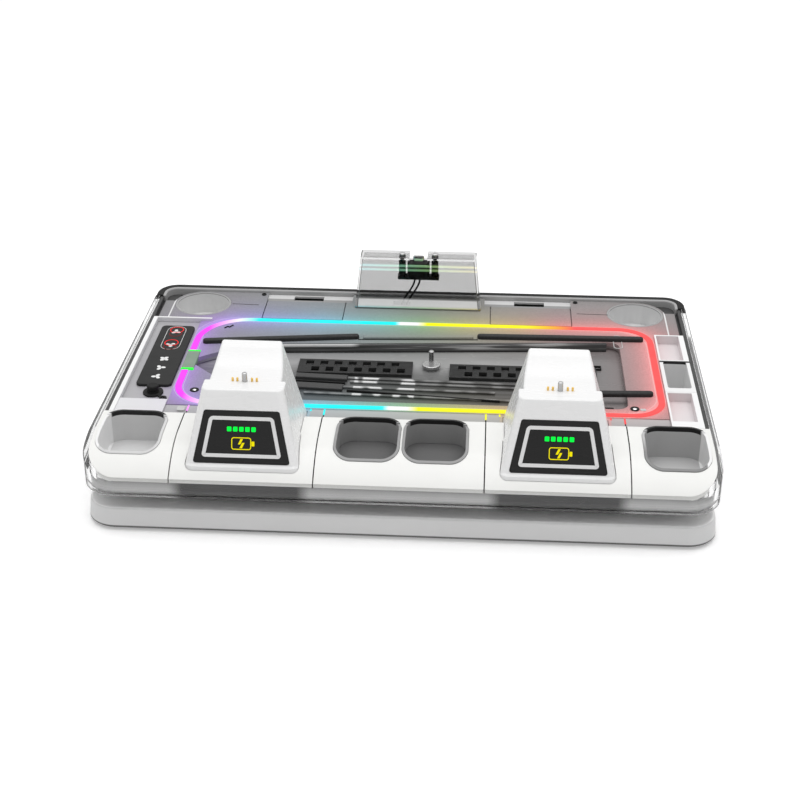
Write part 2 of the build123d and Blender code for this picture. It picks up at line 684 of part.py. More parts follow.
def dock_shell_form():
    """Outer form of a dock with its front corners, top edges and backrest edges rounded."""
    form = round_corners(dock_form(0, DOCK_FOOT), DOCK_CORNER)
    brink = form.edges().filter_by_position(Axis.Z, LEDGE_TOP - 0.01, LEDGE_TOP + 0.01)
    form = fillet(brink.filter_by_position(Axis.Y, -FAR, LEDGE_FRONT + DOCK_CORNER + 0.01), DOCK_EDGE)
    back_y = LEDGE_BACK + BACKREST_DEPTH + STRIP_DEPTH
    back = form.edges().filter_by_position(Axis.Y, back_y - 0.01, back_y + 0.01)
    edges = list(back.filter_by_position(Axis.Z, DOCK_FOOT + 1, FAR))
    strip = form.faces().sort_by(lambda face: face.center().Z)[-1]
    backrest = [face for face in form.faces() if face.geom_type == GeomType.CYLINDER]
    backrest = sorted(backrest, key=lambda face: face.area)[-1]
    for face in (strip, backrest):
        edges += [edge for edge in face.edges() if abs(edge.tangent_at(0.5).X) < 0.5]
    return fillet(edges, STRIP_EDGE)


def face_plane():
    """Plane of the dock's sloping face, with its origin at the foot and Y running up the face."""
    run = (LEDGE_TOP - DOCK_FOOT) / tan(radians(FACE_ANGLE))
    normal = (0, -sin(radians(FACE_ANGLE)), cos(radians(FACE_ANGLE)))
    return Plane(origin=(0, LEDGE_FRONT - run, DOCK_FOOT), x_dir=(1, 0, 0), z_dir=normal)


def lens_half(up):
    """Half width of the lens at a distance up the face, a margin in from the face's leaning side."""
    lean = (FOOT_HALF_WIDTH - LEDGE_HALF_WIDTH) / (LEDGE_TOP - DOCK_FOOT)
    return FOOT_HALF_WIDTH - lean * up * sin(radians(FACE_ANGLE)) - LENS_SIDE_MARGIN


def lens_form(grow, low, high):
    """Screen lens on the face: a trapezoid plate between two depths along the face's normal."""
    half_low = lens_half(LENS_LOW)
    half_high = lens_half(LENS_HIGH)
    points = [(-half_low, LENS_LOW), (half_low, LENS_LOW), (half_high, LENS_HIGH), (-half_high, LENS_HIGH)]
    sheet = rounded(points, [LENS_CORNER] * 4)
    if grow:
        sheet = offset(sheet, amount=grow)
    return extrude(face_plane() * Pos(0, 0, low) * sheet, amount=high - low)


def dock_pieces():
    """The pieces of one dock about X = 0."""
    shell = dock_shell_form() - dock_form(DOCK_SKIN, DOCK_FOOT - 2 * DOCK_SKIN)
    shell -= lens_form(FIT, LENS_PROUD - LENS_THICKNESS, LENS_THICKNESS)
    lens = lens_form(0, LENS_PROUD - LENS_THICKNESS, LENS_PROUD)
    carrier_top = LEDGE_TOP - DOCK_SKIN
    carrier_low = carrier_top - CARRIER_HEIGHT
    carrier_y = (PIN_Y - CARRIER_DEPTH / 2, PIN_Y + CARRIER_DEPTH / 2)
    carrier = box((-CARRIER_HALF_WIDTH, CARRIER_HALF_WIDTH), carrier_y, (carrier_low, carrier_top))
    pin_low = LEDGE_TOP + PIN_STAND - PIN_LENGTH
    pins = []
    for x in PIN_OFFSETS:
        pin = disc(x, PIN_Y, PIN_RADIUS, pin_low, LEDGE_TOP + PIN_STAND)
        pins.append(fillet(pin.edges().sort_by(Axis.Z)[-1], PIN_RADIUS / 2))
        bore = disc(x, PIN_Y, PIN_RADIUS + RUNNING_FIT, pin_low - PIN_TRAVEL - FIT, LEDGE_TOP + PIN_STAND)
        carrier -= bore
        shell -= bore
    guide_low = LEDGE_TOP + GUIDE_PIN_STAND - GUIDE_PIN_LENGTH
    guide = disc(0, PIN_Y, GUIDE_PIN_RADIUS, guide_low, LEDGE_TOP + GUIDE_PIN_STAND)
    guide = fillet(guide.edges().sort_by(Axis.Z)[-1], GUIDE_PIN_RADIUS / 2)
    guide_bore = disc(0, PIN_Y, GUIDE_PIN_RADIUS + RUNNING_FIT, guide_low, LEDGE_TOP + GUIDE_PIN_STAND)
    carrier -= guide_bore
    shell -= guide_bore
    housing = dock_housing()
    board_low = HOUSING_BOTTOM + HOUSING_WALL + BOARD_STANDOFF
    board_y = (HOUSING_FRONT + HOUSING_REAR) / 2
    sheet = Pos(0, board_y) * Rectangle(CHARGE_BOARD_WIDTH, CHARGE_BOARD_DEPTH)
    board = plate(sheet, board_low, board_low + BOARD_THICKNESS)
    return {
        "dock_shell": shell,
        "screen_lens": lens,
        "pin_carrier": carrier,
        "contact_pins": Compound(pins),
        "guide_pin": guide,
        "dock_housing": housing,
        "charge_board": board,
    }


def dock_housing():
    """Dark box under a dock that holds its charge board and hangs below the deck."""
    middle = (HOUSING_FRONT + HOUSING_REAR) / 2
    width = 2 * HOUSING_HALF_WIDTH
    outer = Pos(0, middle) * RectangleRounded(width, HOUSING_DEPTH, HOUSING_CORNER)
    inner_depth = HOUSING_DEPTH - 2 * HOUSING_WALL
    inner = RectangleRounded(width - 2 * HOUSING_WALL, inner_depth, HOUSING_CORNER - HOUSING_WALL)
    inner = Pos(0, middle) * inner
    mouth = Pos(0, middle) * Rectangle(width - 2 * HOUSING_FLANGE, inner_depth)
    floor = HOUSING_BOTTOM + HOUSING_WALL
    housing = plate(outer, HOUSING_BOTTOM, DOCK_FOOT)
    housing = fillet(housing.faces().sort_by(Axis.Z)[0].edges(), HOUSING_WALL / 2)
    housing -= plate(inner, floor, DOCK_FOOT - HOUSING_WALL)
    housing -= plate(mouth, floor, DOCK_FOOT)
    pitch_x = CHARGE_BOARD_WIDTH - 2 * BOSS_RADIUS
    pitch_y = CHARGE_BOARD_DEPTH - 2 * BOSS_RADIUS
    for place in GridLocations(pitch_x, pitch_y, 2, 2):
        housing += place * disc(0, middle, BOSS_RADIUS / 2, floor, floor + BOARD_STANDOFF)
    return housing


def pocket_outline(x, grow):
    width = POCKET_WIDTH + 2 * grow
    length = POCKET_LENGTH + 2 * grow
    return Pos(x, POCKET_Y) * RectangleRounded(width, length, POCKET_CORNER + grow)


def grip_pocket(x, bottom):
    """Open pocket for a controller's handle, with a low rim and a brow along its rear edge."""
    high = RIM_TOP + POCKET_BROW
    cup = plate(pocket_outline(x, POCKET_WALL), bottom, high)
    cup -= plate(pocket_outline(x, 0), bottom + POCKET_WALL, high)
    brow_front = POCKET_REAR - POCKET_CORNER / 2
    brow = under_skin(-POCKET_BROW) & box((-FAR, FAR), (brow_front, FAR), (0, FAR))
    return cup & (under_skin(-POCKET_RIM) + brow)


def front_panel(x_range, flange_x):
    """White module of the front edge: a rolled skin with a riser and a low flange behind."""
    room = box(x_range, (CASE_FRONT, PANEL_REAR), (CASE_BOTTOM, RIM_TOP))
    skin = (room & under_skin(0)) - under_skin(PANEL_SKIN)
    flange_top = RIM_TOP - PANEL_STEP
    flange_low = flange_top - PANEL_SKIN
    skin += box(x_range, (PANEL_REAR - PANEL_SKIN, PANEL_REAR), (flange_low, RIM_TOP))
    skin += box(flange_x, (PANEL_REAR - PANEL_SKIN, PANEL_REAR + FLANGE_DEPTH), (flange_low, flange_top))
    return skin & plate(case_outline(INNER), CASE_BOTTOM, RIM_TOP)


def module_pieces():
    pieces = {}
    gap = SEAM / 2
    middle_x = (-INNER_SEAM + gap, INNER_SEAM - gap)
    dock_x = (INNER_SEAM + gap, OUTER_SEAM - gap)
    end_x = (OUTER_SEAM + gap, CASE_WIDTH / 2)
    centre_bottom = RIM_TOP - POCKET_DEPTH - POCKET_WALL
    hole = POCKET_WALL + FIT
    centre = front_panel(middle_x, middle_x)
    dock_hole = dock_opening()
    for side, name, deck_edge in ((-1, "left", -DECK_LEFT), (1, "right", DECK_RIGHT)):
        end = front_panel(mirrored(side, end_x), mirrored(side, (end_x[0], deck_edge)))
        pocket_x = side * END_POCKET_X
        pieces["end_panel_" + name] = end - plate(pocket_outline(pocket_x, hole), 0, FAR)
        pieces["grip_pocket_end_" + name] = grip_pocket(pocket_x, FLOOR_TOP)
        centre -= plate(pocket_outline(side * CENTRE_POCKET_X, hole), 0, FAR)
        pieces["grip_pocket_centre_" + name] = grip_pocket(side * CENTRE_POCKET_X, centre_bottom)
        panel = front_panel(mirrored(side, dock_x), mirrored(side, dock_x))
        pieces["dock_panel_" + name] = panel - Pos(side * DOCK_X, 0, 0) * dock_hole
        for node, shape in dock_pieces().items():
            pieces[node + "_" + name] = Pos(side * DOCK_X, 0, 0) * shape
    pieces["centre_panel"] = centre
    return pieces


# Console deck


def guide_outline(inset):
    """Outline of the light loop, drawn in from its outer edge."""
    x_range = (DECK_LEFT + GUIDE_EDGE + inset, DECK_RIGHT - GUIDE_EDGE - inset)
    y_range = (DECK_FRONT + GUIDE_EDGE + inset, GUIDE_REAR - inset)
    return rectangle(x_range, y_range, [corner - inset for corner in GUIDE_CORNERS])


def bay_outline(grow):
    """Outline of the console bay: a pointed end on the left and a square end on the right."""
    points = [(BAY_LEFT, COUPLER_Y), (DECK_LEFT + BAY_FRONT_LEFT_GAP, BAY_FRONT), (BAY_RIGHT, BAY_FRONT)]
    points += [(BAY_RIGHT, BAY_REAR), (DECK_LEFT + BAY_REAR_LEFT_GAP, BAY_REAR - BAY_SLANT)]
    sheet = rounded(points, BAY_CORNERS)
    return offset(sheet, amount=grow) if grow else sheet


def deck_outline():
    """Outline of the frosted deck: round its cups at the rear, narrower between the side trays."""
    cup_side = CUP_X + CUP_CORNER
    left_step = CONTROL_TRAY_REAR + FIT
    right_step = CARD_REAR + FIT
    points = [(-cup_side, left_step), (DECK_LEFT, left_step), (DECK_LEFT, DECK_FRONT)]
    points += [(DECK_RIGHT, DECK_FRONT), (DECK_RIGHT, right_step), (cup_side, right_step)]
    points += [(cup_side, DECK_REAR), (-cup_side, DECK_REAR)]
    return rounded(points, [FIT] * 6 + [CUP_CORNER - FIT] * 2)


def lid_outline(side, inset):
    x_range = mirrored(side, (LID_INNER + inset, LID_OUTER - inset))
    y_range = (GUIDE_REAR + GUIDE_EDGE + inset, DECK_REAR - CHANNEL_DEPTH - inset)
    return rectangle(x_range, y_range, [1.0] * 4)


def coupler_box(grow):
    left = DECK_LEFT + FIT
    x_range = (left - grow, left + COUPLER_WIDTH + grow)
    return box(x_range, (COUPLER_FRONT, COUPLER_REAR), (DECK_TOP - GUIDE_DEPTH, FAR))


def deck_pieces():
    deck = plate(deck_outline(), DECK_BOTTOM, DECK_TOP)
    deck -= plate(bay_outline(0), DECK_BOTTOM, DECK_TOP)
    groove = guide_outline(-RUNNING_FIT) - guide_outline(GUIDE_WIDTH + RUNNING_FIT)
    deck -= plate(groove, DECK_TOP - GUIDE_DEPTH, DECK_TOP)
    deck -= coupler_box(RUNNING_FIT)
    loop = guide_outline(0) - guide_outline(GUIDE_WIDTH)
    guide = plate(loop, DECK_TOP - GUIDE_DEPTH, DECK_TOP + GUIDE_PROUD)
    guide -= box((-FAR, 0), (COUPLER_FRONT - FIT, COUPLER_REAR + FIT), (0, FAR))
    coupler = coupler_box(0) & box((-FAR, FAR), (-FAR, FAR), (0, DECK_TOP + COUPLER_PROUD))
    coupler = fillet(coupler.faces().sort_by(Axis.Z)[-1].edges(), COUPLER_PROUD / 2)
    channel = (DECK_REAR - CHANNEL_DEPTH, DECK_REAR)
    notch_middle = (channel[0] + channel[1]) / 2 + NOTCH_SHIFT
    notch_y = (notch_middle - NOTCH_DEPTH / 2, notch_middle + NOTCH_DEPTH / 2)
    pieces = {"light_guide": guide, "light_coupler": coupler}
    for side, name in ((-1, "left"), (1, "right")):
        deck -= cylinder_hole(side * CUP_X, CUP_Y, CUP_RADIUS + CUP_WALL + FIT)
        trough = mirrored(side, (POST_SEAT_HALF_WIDTH, CHANNEL_END))
        deck -= box(trough, channel, (DECK_TOP - CHANNEL_DROP, FAR))
        notch = mirrored(side, (NOTCH_X - NOTCH_WIDTH / 2, NOTCH_X + NOTCH_WIDTH / 2))
        deck -= box(notch, notch_y, (0, FAR))
        deck -= plate(lid_outline(side, 0), DECK_TOP - LID_THICKNESS, FAR)
        pieces["rear_lid_" + name] = plate(lid_outline(side, SEAM), DECK_TOP - LID_THICKNESS, DECK_TOP)
        pieces["rear_cup_" + name] = rear_cup(side * CUP_X)
    wing_x = (CUP_X + CUP_CORNER - WING_THICKNESS, CUP_X + CUP_CORNER + WING_WIDTH)
    wing_z = (DECK_BOTTOM, DECK_BOTTOM + WING_THICKNESS)
    wing_rear = CASE_REAR - RIM_WRAP - WING_THICKNESS
    deck += box(mirrored(-1, wing_x), (CONTROL_TRAY_REAR + FIT, wing_rear), wing_z)
    deck += box(wing_x, (CARD_REAR + FIT, wing_rear), wing_z)
    slot_left, slot_right, slot_depth = LEAD_SLOT
    deck -= box((slot_left, slot_right), (POST_Y - slot_depth, POST_Y + slot_depth / 2), (0, FAR))
    pieces["console_deck"] = deck
    return pieces


def rear_cup(x):
    """Round cup let into the deck."""
    low = DECK_TOP - CUP_DEPTH - CUP_WALL
    cup = disc(x, CUP_Y, CUP_RADIUS + CUP_WALL, low, DECK_TOP)
    return cup - disc(x, CUP_Y, CUP_RADIUS, low + CUP_WALL, DECK_TOP)


# Console bay


def grille_places():
    left = (DECK_LEFT + BAY_FRONT_LEFT_GAP + GRILLE_LEFT_GAP, SCREW_X - GRILLE_MIDDLE_GAP)
    right = (SCREW_X + GRILLE_MIDDLE_GAP, BAY_RIGHT - GRILLE_RIGHT_GAP)
    left_y, right_y = [BAY_SHOULDER - gap - GRILLE_DEPTH / 2 for gap in GRILLE_REAR_GAPS]
    return [(left, left_y), (right, right_y)]


def grille(x_range, y):
    """Slotted plate: two rows of slots, the second row half a pitch along."""
    y_range = (y - GRILLE_DEPTH / 2, y + GRILLE_DEPTH / 2)
    grid = box(x_range, y_range, (BAY_FLOOR, BAY_FLOOR + GRILLE_THICKNESS))
    row_depth = GRILLE_DEPTH / 2 - 1.5 * GRILLE_BORDER
    row_shift = (row_depth + GRILLE_BORDER) / 2
    usable = x_range[1] - x_range[0] - 2 * GRILLE_BORDER
    count = int(usable / SLOT_PITCH)
    start = x_range[0] + GRILLE_BORDER + (usable - count * SLOT_PITCH) / 2
    slot = SLOT_PITCH * SLOT_SHARE
    for row, middle in enumerate((y + row_shift, y - row_shift)):
        for step in range(count):
            left = start + step * SLOT_PITCH + row * (SLOT_PITCH - slot)
            grid -= box((left, left + slot), (middle - row_depth / 2, middle + row_depth / 2), (0, FAR))
    return grid


def bar_ends():
    """Ends of the three rest bars: two along the rear of the bay and one at its front right."""
    rear = GUIDE_REAR - BAR_REAR_GAP
    left_start = (DECK_LEFT + BAR_END_GAP, rear - BAR_LEFT_DROP - BAR_LEFT_SLANT)
    left_end = (BAR_INNER_LEFT, rear - BAR_LEFT_DROP)
    right_end = DECK_RIGHT - BAR_END_GAP
    front = DECK_FRONT + BAR_FRONT_GAP
    front_end = DECK_RIGHT - BAR_END_GAP
    rear_right = ((BAR_INNER_RIGHT, rear - BAR_WIDTH / 2), (right_end, rear))
    front_right = ((front_end - BAR_FRONT_LENGTH, front), (front_end, front + BAR_WIDTH / 2))
    return [(left_start, left_end), rear_right, front_right]


def rest_bar(start, end):
    """Round-ended rubber bar on the deck."""
    length = hypot(end[0] - start[0], end[1] - start[1]) + BAR_WIDTH
    turn = degrees(atan2(end[1] - start[1], end[0] - start[0]))
    middle = Pos((start[0] + end[0]) / 2, (start[1] + end[1]) / 2)
    bar = plate(middle * Rot(0, 0, turn) * SlotOverall(length, BAR_WIDTH), DECK_TOP, DECK_TOP + BAR_HEIGHT)
    return fillet(bar.faces().sort_by(Axis.Z)[-1].edges(), BAR_EDGE)


def console_screw():
    """Captive screw with a thumb disc, standing in the bay to hold the console."""
    thumb_low = BAY_FLOOR + THUMB_SEAT + RUNNING_FIT
    thumb_top = thumb_low + THUMB_HEIGHT
    thumb = disc(SCREW_X, SCREW_Y, THUMB_RADIUS, thumb_low, thumb_top)
    thumb = fillet(thumb.edges(), THUMB_HEIGHT / 4)
    stud = disc(SCREW_X, SCREW_Y, STUD_RADIUS, thumb_low - STUD_TAIL, thumb_top + STUD_RISE)
    stud = chamfer(stud.edges().sort_by(Axis.Z)[-1], STUD_RADIUS / 3)
    return thumb + stud


def bay_pieces():
    liner = plate(bay_outline(LINER_WALL), LINER_BOTTOM, DECK_BOTTOM)
    liner -= plate(bay_outline(0), BAY_FLOOR, DECK_BOTTOM)
    for x_range, y in grille_places():
        window_x = (x_range[0] + GRILLE_BORDER, x_range[1] - GRILLE_BORDER)
        window_y = (y - GRILLE_DEPTH / 2 + GRILLE_BORDER, y + GRILLE_DEPTH / 2 - GRILLE_BORDER)
        liner -= box(window_x, window_y, (LINER_BOTTOM, BAY_FLOOR))
    rear_row = min(y for x_range, y in grille_places()) - GRILLE_DEPTH / 2 - DUCT_RIB_REAR_GAP
    front_row = BAY_FRONT + DUCT_RIB_FRONT_GAP
    for left_gap, right_gap, row in DUCT_RIBS:
        start = BAY_LEFT + left_gap
        end = BAY_RIGHT - right_gap
        middle = Pos((start + end) / 2, rear_row + (front_row - rear_row) * row)
        rib = middle * Rot(0, 0, DUCT_RIB_TURN) * SlotOverall(end - start, DUCT_RIB_WIDTH)
        liner += plate(rib, BAY_FLOOR, BAY_FLOOR + DUCT_RIB_HEIGHT)
    liner += disc(SCREW_X, SCREW_Y, THUMB_RADIUS - THUMB_SEAT, LINER_BOTTOM, BAY_FLOOR + THUMB_SEAT)
    liner -= cylinder_hole(SCREW_X, SCREW_Y, STUD_RADIUS + RUNNING_FIT)
    return {
        "bay_liner": liner,
        "bay_grilles": Compound([grille(x_range, y) for x_range, y in grille_places()]),
        "rest_bars": Compound([rest_bar(start, end) for start, end in bar_ends()]),
        "console_screw": console_screw(),
    }


# Fans


def fan_frame(x, y):
    """Square fan frame with a spoked base and a bearing post."""
    outer = Pos(x, y) * RectangleRounded(FAN_SIZE, FAN_SIZE, FAN_CORNER)
    frame = plate(outer, FLOOR_TOP, LINER_BOTTOM) - cylinder_hole(x, y, FAN_BORE)
    spokes = Pos(x, y) * Circle(HUB_RADIUS)
    for turn in (45, 135):
        spokes += Pos(x, y) * Rot(0, 0, turn) * Rectangle(2 * FAN_BORE + FAN_SPOKE, FAN_SPOKE)
    base_top = FLOOR_TOP + FAN_BASE
    frame += plate(spokes, FLOOR_TOP, base_top)
    post_top = LINER_BOTTOM - HUB_WALL - 2 * HUB_GAP
    frame += disc(x, y, BEARING_RADIUS, base_top, post_top)
    return frame - disc(x, y, SHAFT_RADIUS + RUNNING_FIT, base_top, post_top)


def fan_rotor(x, y):
    """Rotor: a cup-shaped hub with its shaft, and pitched blades around it."""
    base_top = FLOOR_TOP + FAN_BASE
    low = base_top + HUB_GAP
    high = LINER_BOTTOM - HUB_GAP
    hub = disc(0, 0, HUB_RADIUS, low, high) - disc(0, 0, HUB_RADIUS - HUB_WALL, low, high - HUB_WALL)
    hub += disc(0, 0, SHAFT_RADIUS, low, high - HUB_WALL / 2)
    middle = (low + high) / 2
    chord = (high - low) / sin(radians(BLADE_PITCH))
    root = HUB_RADIUS - HUB_WALL / 2
    blade = Box(chord, ROTOR_RADIUS, BLADE_THICKNESS, align=(Align.CENTER, Align.MIN, Align.CENTER))
    blade = Pos(0, 0, middle) * Rot(0, BLADE_PITCH, 0) * blade
    sweep_room = disc(0, 0, ROTOR_RADIUS, low, high) - disc(0, 0, root, low, high)
    blade &= sweep_room
    for step in range(BLADES):
        hub += Rot(0, 0, step * 360 / BLADES) * blade
    return Pos(x, y, 0) * hub


def fan_pieces():
    pieces = {}
    for (x, y), name in zip(fan_places(), ("left", "right")):
        pieces["fan_frame_" + name] = fan_frame(x, y)
        pieces["fan_rotor_" + name] = fan_rotor(x, y)
    return pieces


# Side trays


def control_tray():
    """White tray on the left: a floor with a wall at the left and rear, and a step at the front."""
    front = PANEL_REAR + FIT
    x_range = (-TRAY_OUTER, CONTROL_TRAY_RIGHT)
    tray = box(x_range, (front, CONTROL_TRAY_REAR), (TRAY_TOP - TRAY_FLOOR, TRAY_TOP))
    left_wall = (-TRAY_OUTER, -TRAY_OUTER + TRAY_LEFT_WALL)
    tray += box(left_wall, (front, CONTROL_TRAY_REAR), (TRAY_TOP, RIM_TOP))
    rear_wall = (CONTROL_TRAY_REAR - TRAY_REAR_WALL, CONTROL_TRAY_REAR)
    tray += box(x_range, rear_wall, (TRAY_TOP, RIM_TOP))
    tray += box((x_range[0], x_range[1] + TRAY_REAR_REACH), rear_wall, (DECK_TOP, RIM_TOP))
    tray += box(x_range, (front, PANEL_REAR + TRAY_STEP_LENGTH), (TRAY_TOP, RIM_TOP - TRAY_STEP_DROP))
    return tray - cylinder_hole(PLUG_X, PLUG_Y, PLUG_STEM_HOLE)


def port_plug():
    """Rubber plug of a port, with a gripping cap and a tether that ends in an eye."""
    base_top = TRAY_TOP + PLUG_BASE_HEIGHT
    plug = disc(PLUG_X, PLUG_Y, PLUG_BASE_RADIUS, TRAY_TOP, base_top)
    plug += disc(PLUG_X, PLUG_Y, PLUG_STEM_RADIUS, TRAY_TOP - TRAY_FLOOR, TRAY_TOP)
    cap = disc(PLUG_X, PLUG_Y, PLUG_CAP_RADIUS, base_top, base_top + PLUG_CAP_HEIGHT)
    cap = fillet(cap.faces().sort_by(Axis.Z)[-1].edges(), PLUG_CAP_RADIUS / 4)
    groove_low = base_top + PLUG_CAP_HEIGHT / 4
    groove = disc(PLUG_X, PLUG_Y, PLUG_CAP_RADIUS, groove_low, base_top + PLUG_CAP_HEIGHT / 2)
    groove -= cylinder_hole(PLUG_X, PLUG_Y, PLUG_CAP_RADIUS * 0.8)
    eye = (PLUG_X + TETHER_REACH, PLUG_Y - TETHER_REACH)
    middle = Pos((PLUG_X + eye[0]) / 2, (PLUG_Y + eye[1]) / 2)
    strap = middle * Rot(0, 0, -45) * Rectangle(TETHER_REACH * sqrt(2), TETHER_WIDTH)
    tether = strap + Pos(*eye) * Circle(TETHER_RADIUS)
    tether -= Pos(*eye) * Circle(TETHER_RADIUS / 2)
    return plug + (cap - groove) + plate(tether, TRAY_TOP, base_top)


def card_tray(outer_y, inner_y):
    """Shallow open tray on the right with a thick outer wall."""
    floor = RIM_TOP - CARD_TRAY_DEPTH
    inner_x = (CARD_TRAY_LEFT + CARD_WALL, TRAY_OUTER - CARD_OUTER_WALL)
    tray = box((CARD_TRAY_LEFT, TRAY_OUTER), outer_y, (floor - TRAY_FLOOR, RIM_TOP))
    return tray - box(inner_x, inner_y, (floor, FAR))


def side_pocket():
    """Deep pocket between the card trays, standing on the chassis floor under a flange."""
    rear = SIDE_POCKET_END - FIT
    flange = (CARD_FRONT_END + FIT, rear)
    sill = CARD_FRONT_END + SIDE_POCKET_SILL
    flange_x = (CARD_TRAY_LEFT, TRAY_OUTER)
    wall_x = (CARD_TRAY_LEFT + CARD_WALL, TRAY_OUTER - CARD_WALL)
    inner_x = (wall_x[0] + CARD_WALL, wall_x[1] - CARD_WALL)
    pocket = box(flange_x, flange, (RIM_TOP - SIDE_FLANGE, RIM_TOP))
    outer = rectangle(wall_x, (sill - CARD_WALL, rear), [SIDE_POCKET_CORNER] * 4)
    pocket += plate(outer, FLOOR_TOP, RIM_TOP)
    inner = rectangle(inner_x, (sill, rear - CARD_WALL), [SIDE_POCKET_CORNER - CARD_WALL] * 4)
    return pocket - plate(inner, FLOOR_TOP + TRAY_FLOOR, RIM_TOP)


def side_pieces():
    touch_x = (PLATE_X - PLATE_WIDTH / 2, PLATE_X + PLATE_WIDTH / 2)
    touch = rectangle(touch_x, (PLATE_FRONT, PLATE_REAR), [PLATE_CORNER] * 4)
    touch = plate(touch, TRAY_TOP, TRAY_TOP + PLATE_THICKNESS)
    touch = fillet(touch.faces().sort_by(Axis.Z)[-1].edges(), PLATE_THICKNESS / 4)
    rear_y = (SIDE_POCKET_END, CARD_REAR)
    front_y = (PANEL_REAR + FIT, CARD_FRONT_END)
    return {
        "control_tray": control_tray(),
        "touch_panel": touch,
        "port_plug": port_plug(),
        "card_tray_rear": card_tray(rear_y, (rear_y[0] + CARD_WALL, rear_y[1] - CARD_WALL)),
        "card_tray_front": card_tray(front_y, (front_y[0] + CARD_FRONT_WALL, front_y[1] - CARD_WALL)),
        "side_pocket": side_pocket(),
    }


# Rear post


def post_form(inset):
    """Solid form of the post: a leaning front, an upright back and sides that draw in."""
    lean = POST_TOP_LEAN / POST_HEIGHT
    low = DECK_TOP - inset
    high = POST_TOP - inset
    front_low = POST_FRONT - lean * inset + inset * sqrt(1 + lean * lean)
    front_high = front_low + lean * (high - low)
    rear = POST_REAR - inset
    side = Polygon((front_low, low), (rear, low), (rear, high), (front_high, high), align=None)
    draw = (POST_FOOT_HALF - POST_TOP_HALF) / POST_HEIGHT
    half_low = POST_FOOT_HALF + draw * inset - inset * sqrt(1 + draw * draw)
    half_high = half_low - draw * (high - low)
    front = Polygon((-half_low, low), (half_low, low), (half_high, high), (-half_high, high), align=None)
    side_solid = extrude(Plane.YZ * side, amount=FAR / 2, both=True)
    return side_solid & extrude(Plane.XZ * front, amount=FAR / 2, both=True)


def post_pieces():
    form = post_form(0)
    uprights = [edge for edge in form.edges() if abs(edge.tangent_at(0.5).Z) > 0.9]
    shell = fillet(uprights, POST_EDGE) - post_form(POST_WALL)
    notch = (-POST_NOTCH_WIDTH / 2, POST_NOTCH_WIDTH / 2)
    shell -= box(notch, (-FAR, FAR), (POST_TOP - POST_NOTCH_DEPTH, FAR))
    block_top = POST_TOP - POST_NOTCH_DEPTH
    block_low = block_top - CONNECTOR_HEIGHT
    depth = (POST_Y - CONNECTOR_DEPTH / 2, POST_Y + CONNECTOR_DEPTH / 2)
    block = box((-CONNECTOR_HALF, CONNECTOR_HALF), depth, (block_low, block_top))
    low_edges = block.faces().sort_by(Axis.Z)[0].edges().filter_by(Axis.Y)
    block = fillet(low_edges, CONNECTOR_CORNER)
    ear_low = block_low - EAR_THICKNESS
    block += box((-EAR_HALF, EAR_HALF), depth, (ear_low, block_low))
    ceiling = POST_TOP - POST_WALL
    screws = []
    for side in (-1, 1):
        x = side * STANDOFF_X
        block += disc(x, POST_Y, STANDOFF_RADIUS, block_low, ceiling)
        bore = SCREW_RADIUS + RUNNING_FIT
        block -= disc(x, POST_Y, bore, block_low + EAR_THICKNESS, ceiling)
        shell -= disc(x, POST_Y, bore, ceiling - FIT, FAR)
        shank = disc(x, POST_Y, SCREW_RADIUS, ceiling - SCREW_LENGTH, POST_TOP)
        head = disc(x, POST_Y, POST_SCREW_HEAD, POST_TOP, POST_TOP + SCREW_RADIUS)
        screws.append(shank + fillet(head.faces().sort_by(Axis.Z)[-1].edges(), SCREW_RADIUS / 2))
    tongue = SlotOverall(TONGUE_WIDTH, TONGUE_DEPTH)
    tongue -= SlotOverall(TONGUE_WIDTH - 2 * TONGUE_WALL, TONGUE_DEPTH - 2 * TONGUE_WALL)
    tongue = Pos(0, POST_Y) * tongue
    return {
        "post_shell": shell,
        "post_connector": block,
        "connector_tongue": plate(tongue, block_top, block_top + TONGUE_HEIGHT),
        "post_screws": Compound(screws),
        "post_leads": Compound([post_lead(0), post_lead(LEAD_PITCH)]),
    }


def post_lead(shift):
    """One thin lead from the connector down through the slot in the deck to the main board."""
    board_top = FLOOR_TOP + BOARD_STANDOFF + BOARD_THICKNESS
    start_z = POST_TOP - POST_NOTCH_DEPTH - CONNECTOR_HEIGHT - EAR_THICKNESS
    points = [(x + shift, POST_Y + y, DECK_TOP + z) for x, y, z in LEAD_ROUTE]
    points[0] = (points[0][0], points[0][1], start_z)
    points.append((points[-1][0], points[-1][1], board_top))
    path = FilletPolyline(*points, radius=list(LEAD_BENDS) + [LEAD_BENDS[0]])
    section = Plane(origin=points[0], z_dir=path % 0) * Circle(LEAD_RADIUS)
    return sweep(section, path=path)


# Boards inside


def board_posts():
    """Plan positions of the four posts under the main board."""
    xs = (MAIN_BOARD_LEFT + BOSS_RADIUS, MAIN_BOARD_RIGHT - BOSS_RADIUS)
    ys = (MAIN_BOARD_REAR - MAIN_BOARD_DEPTH + BOSS_RADIUS, MAIN_BOARD_REAR - BOSS_RADIUS)
    return [(x, y) for x in xs for y in ys]


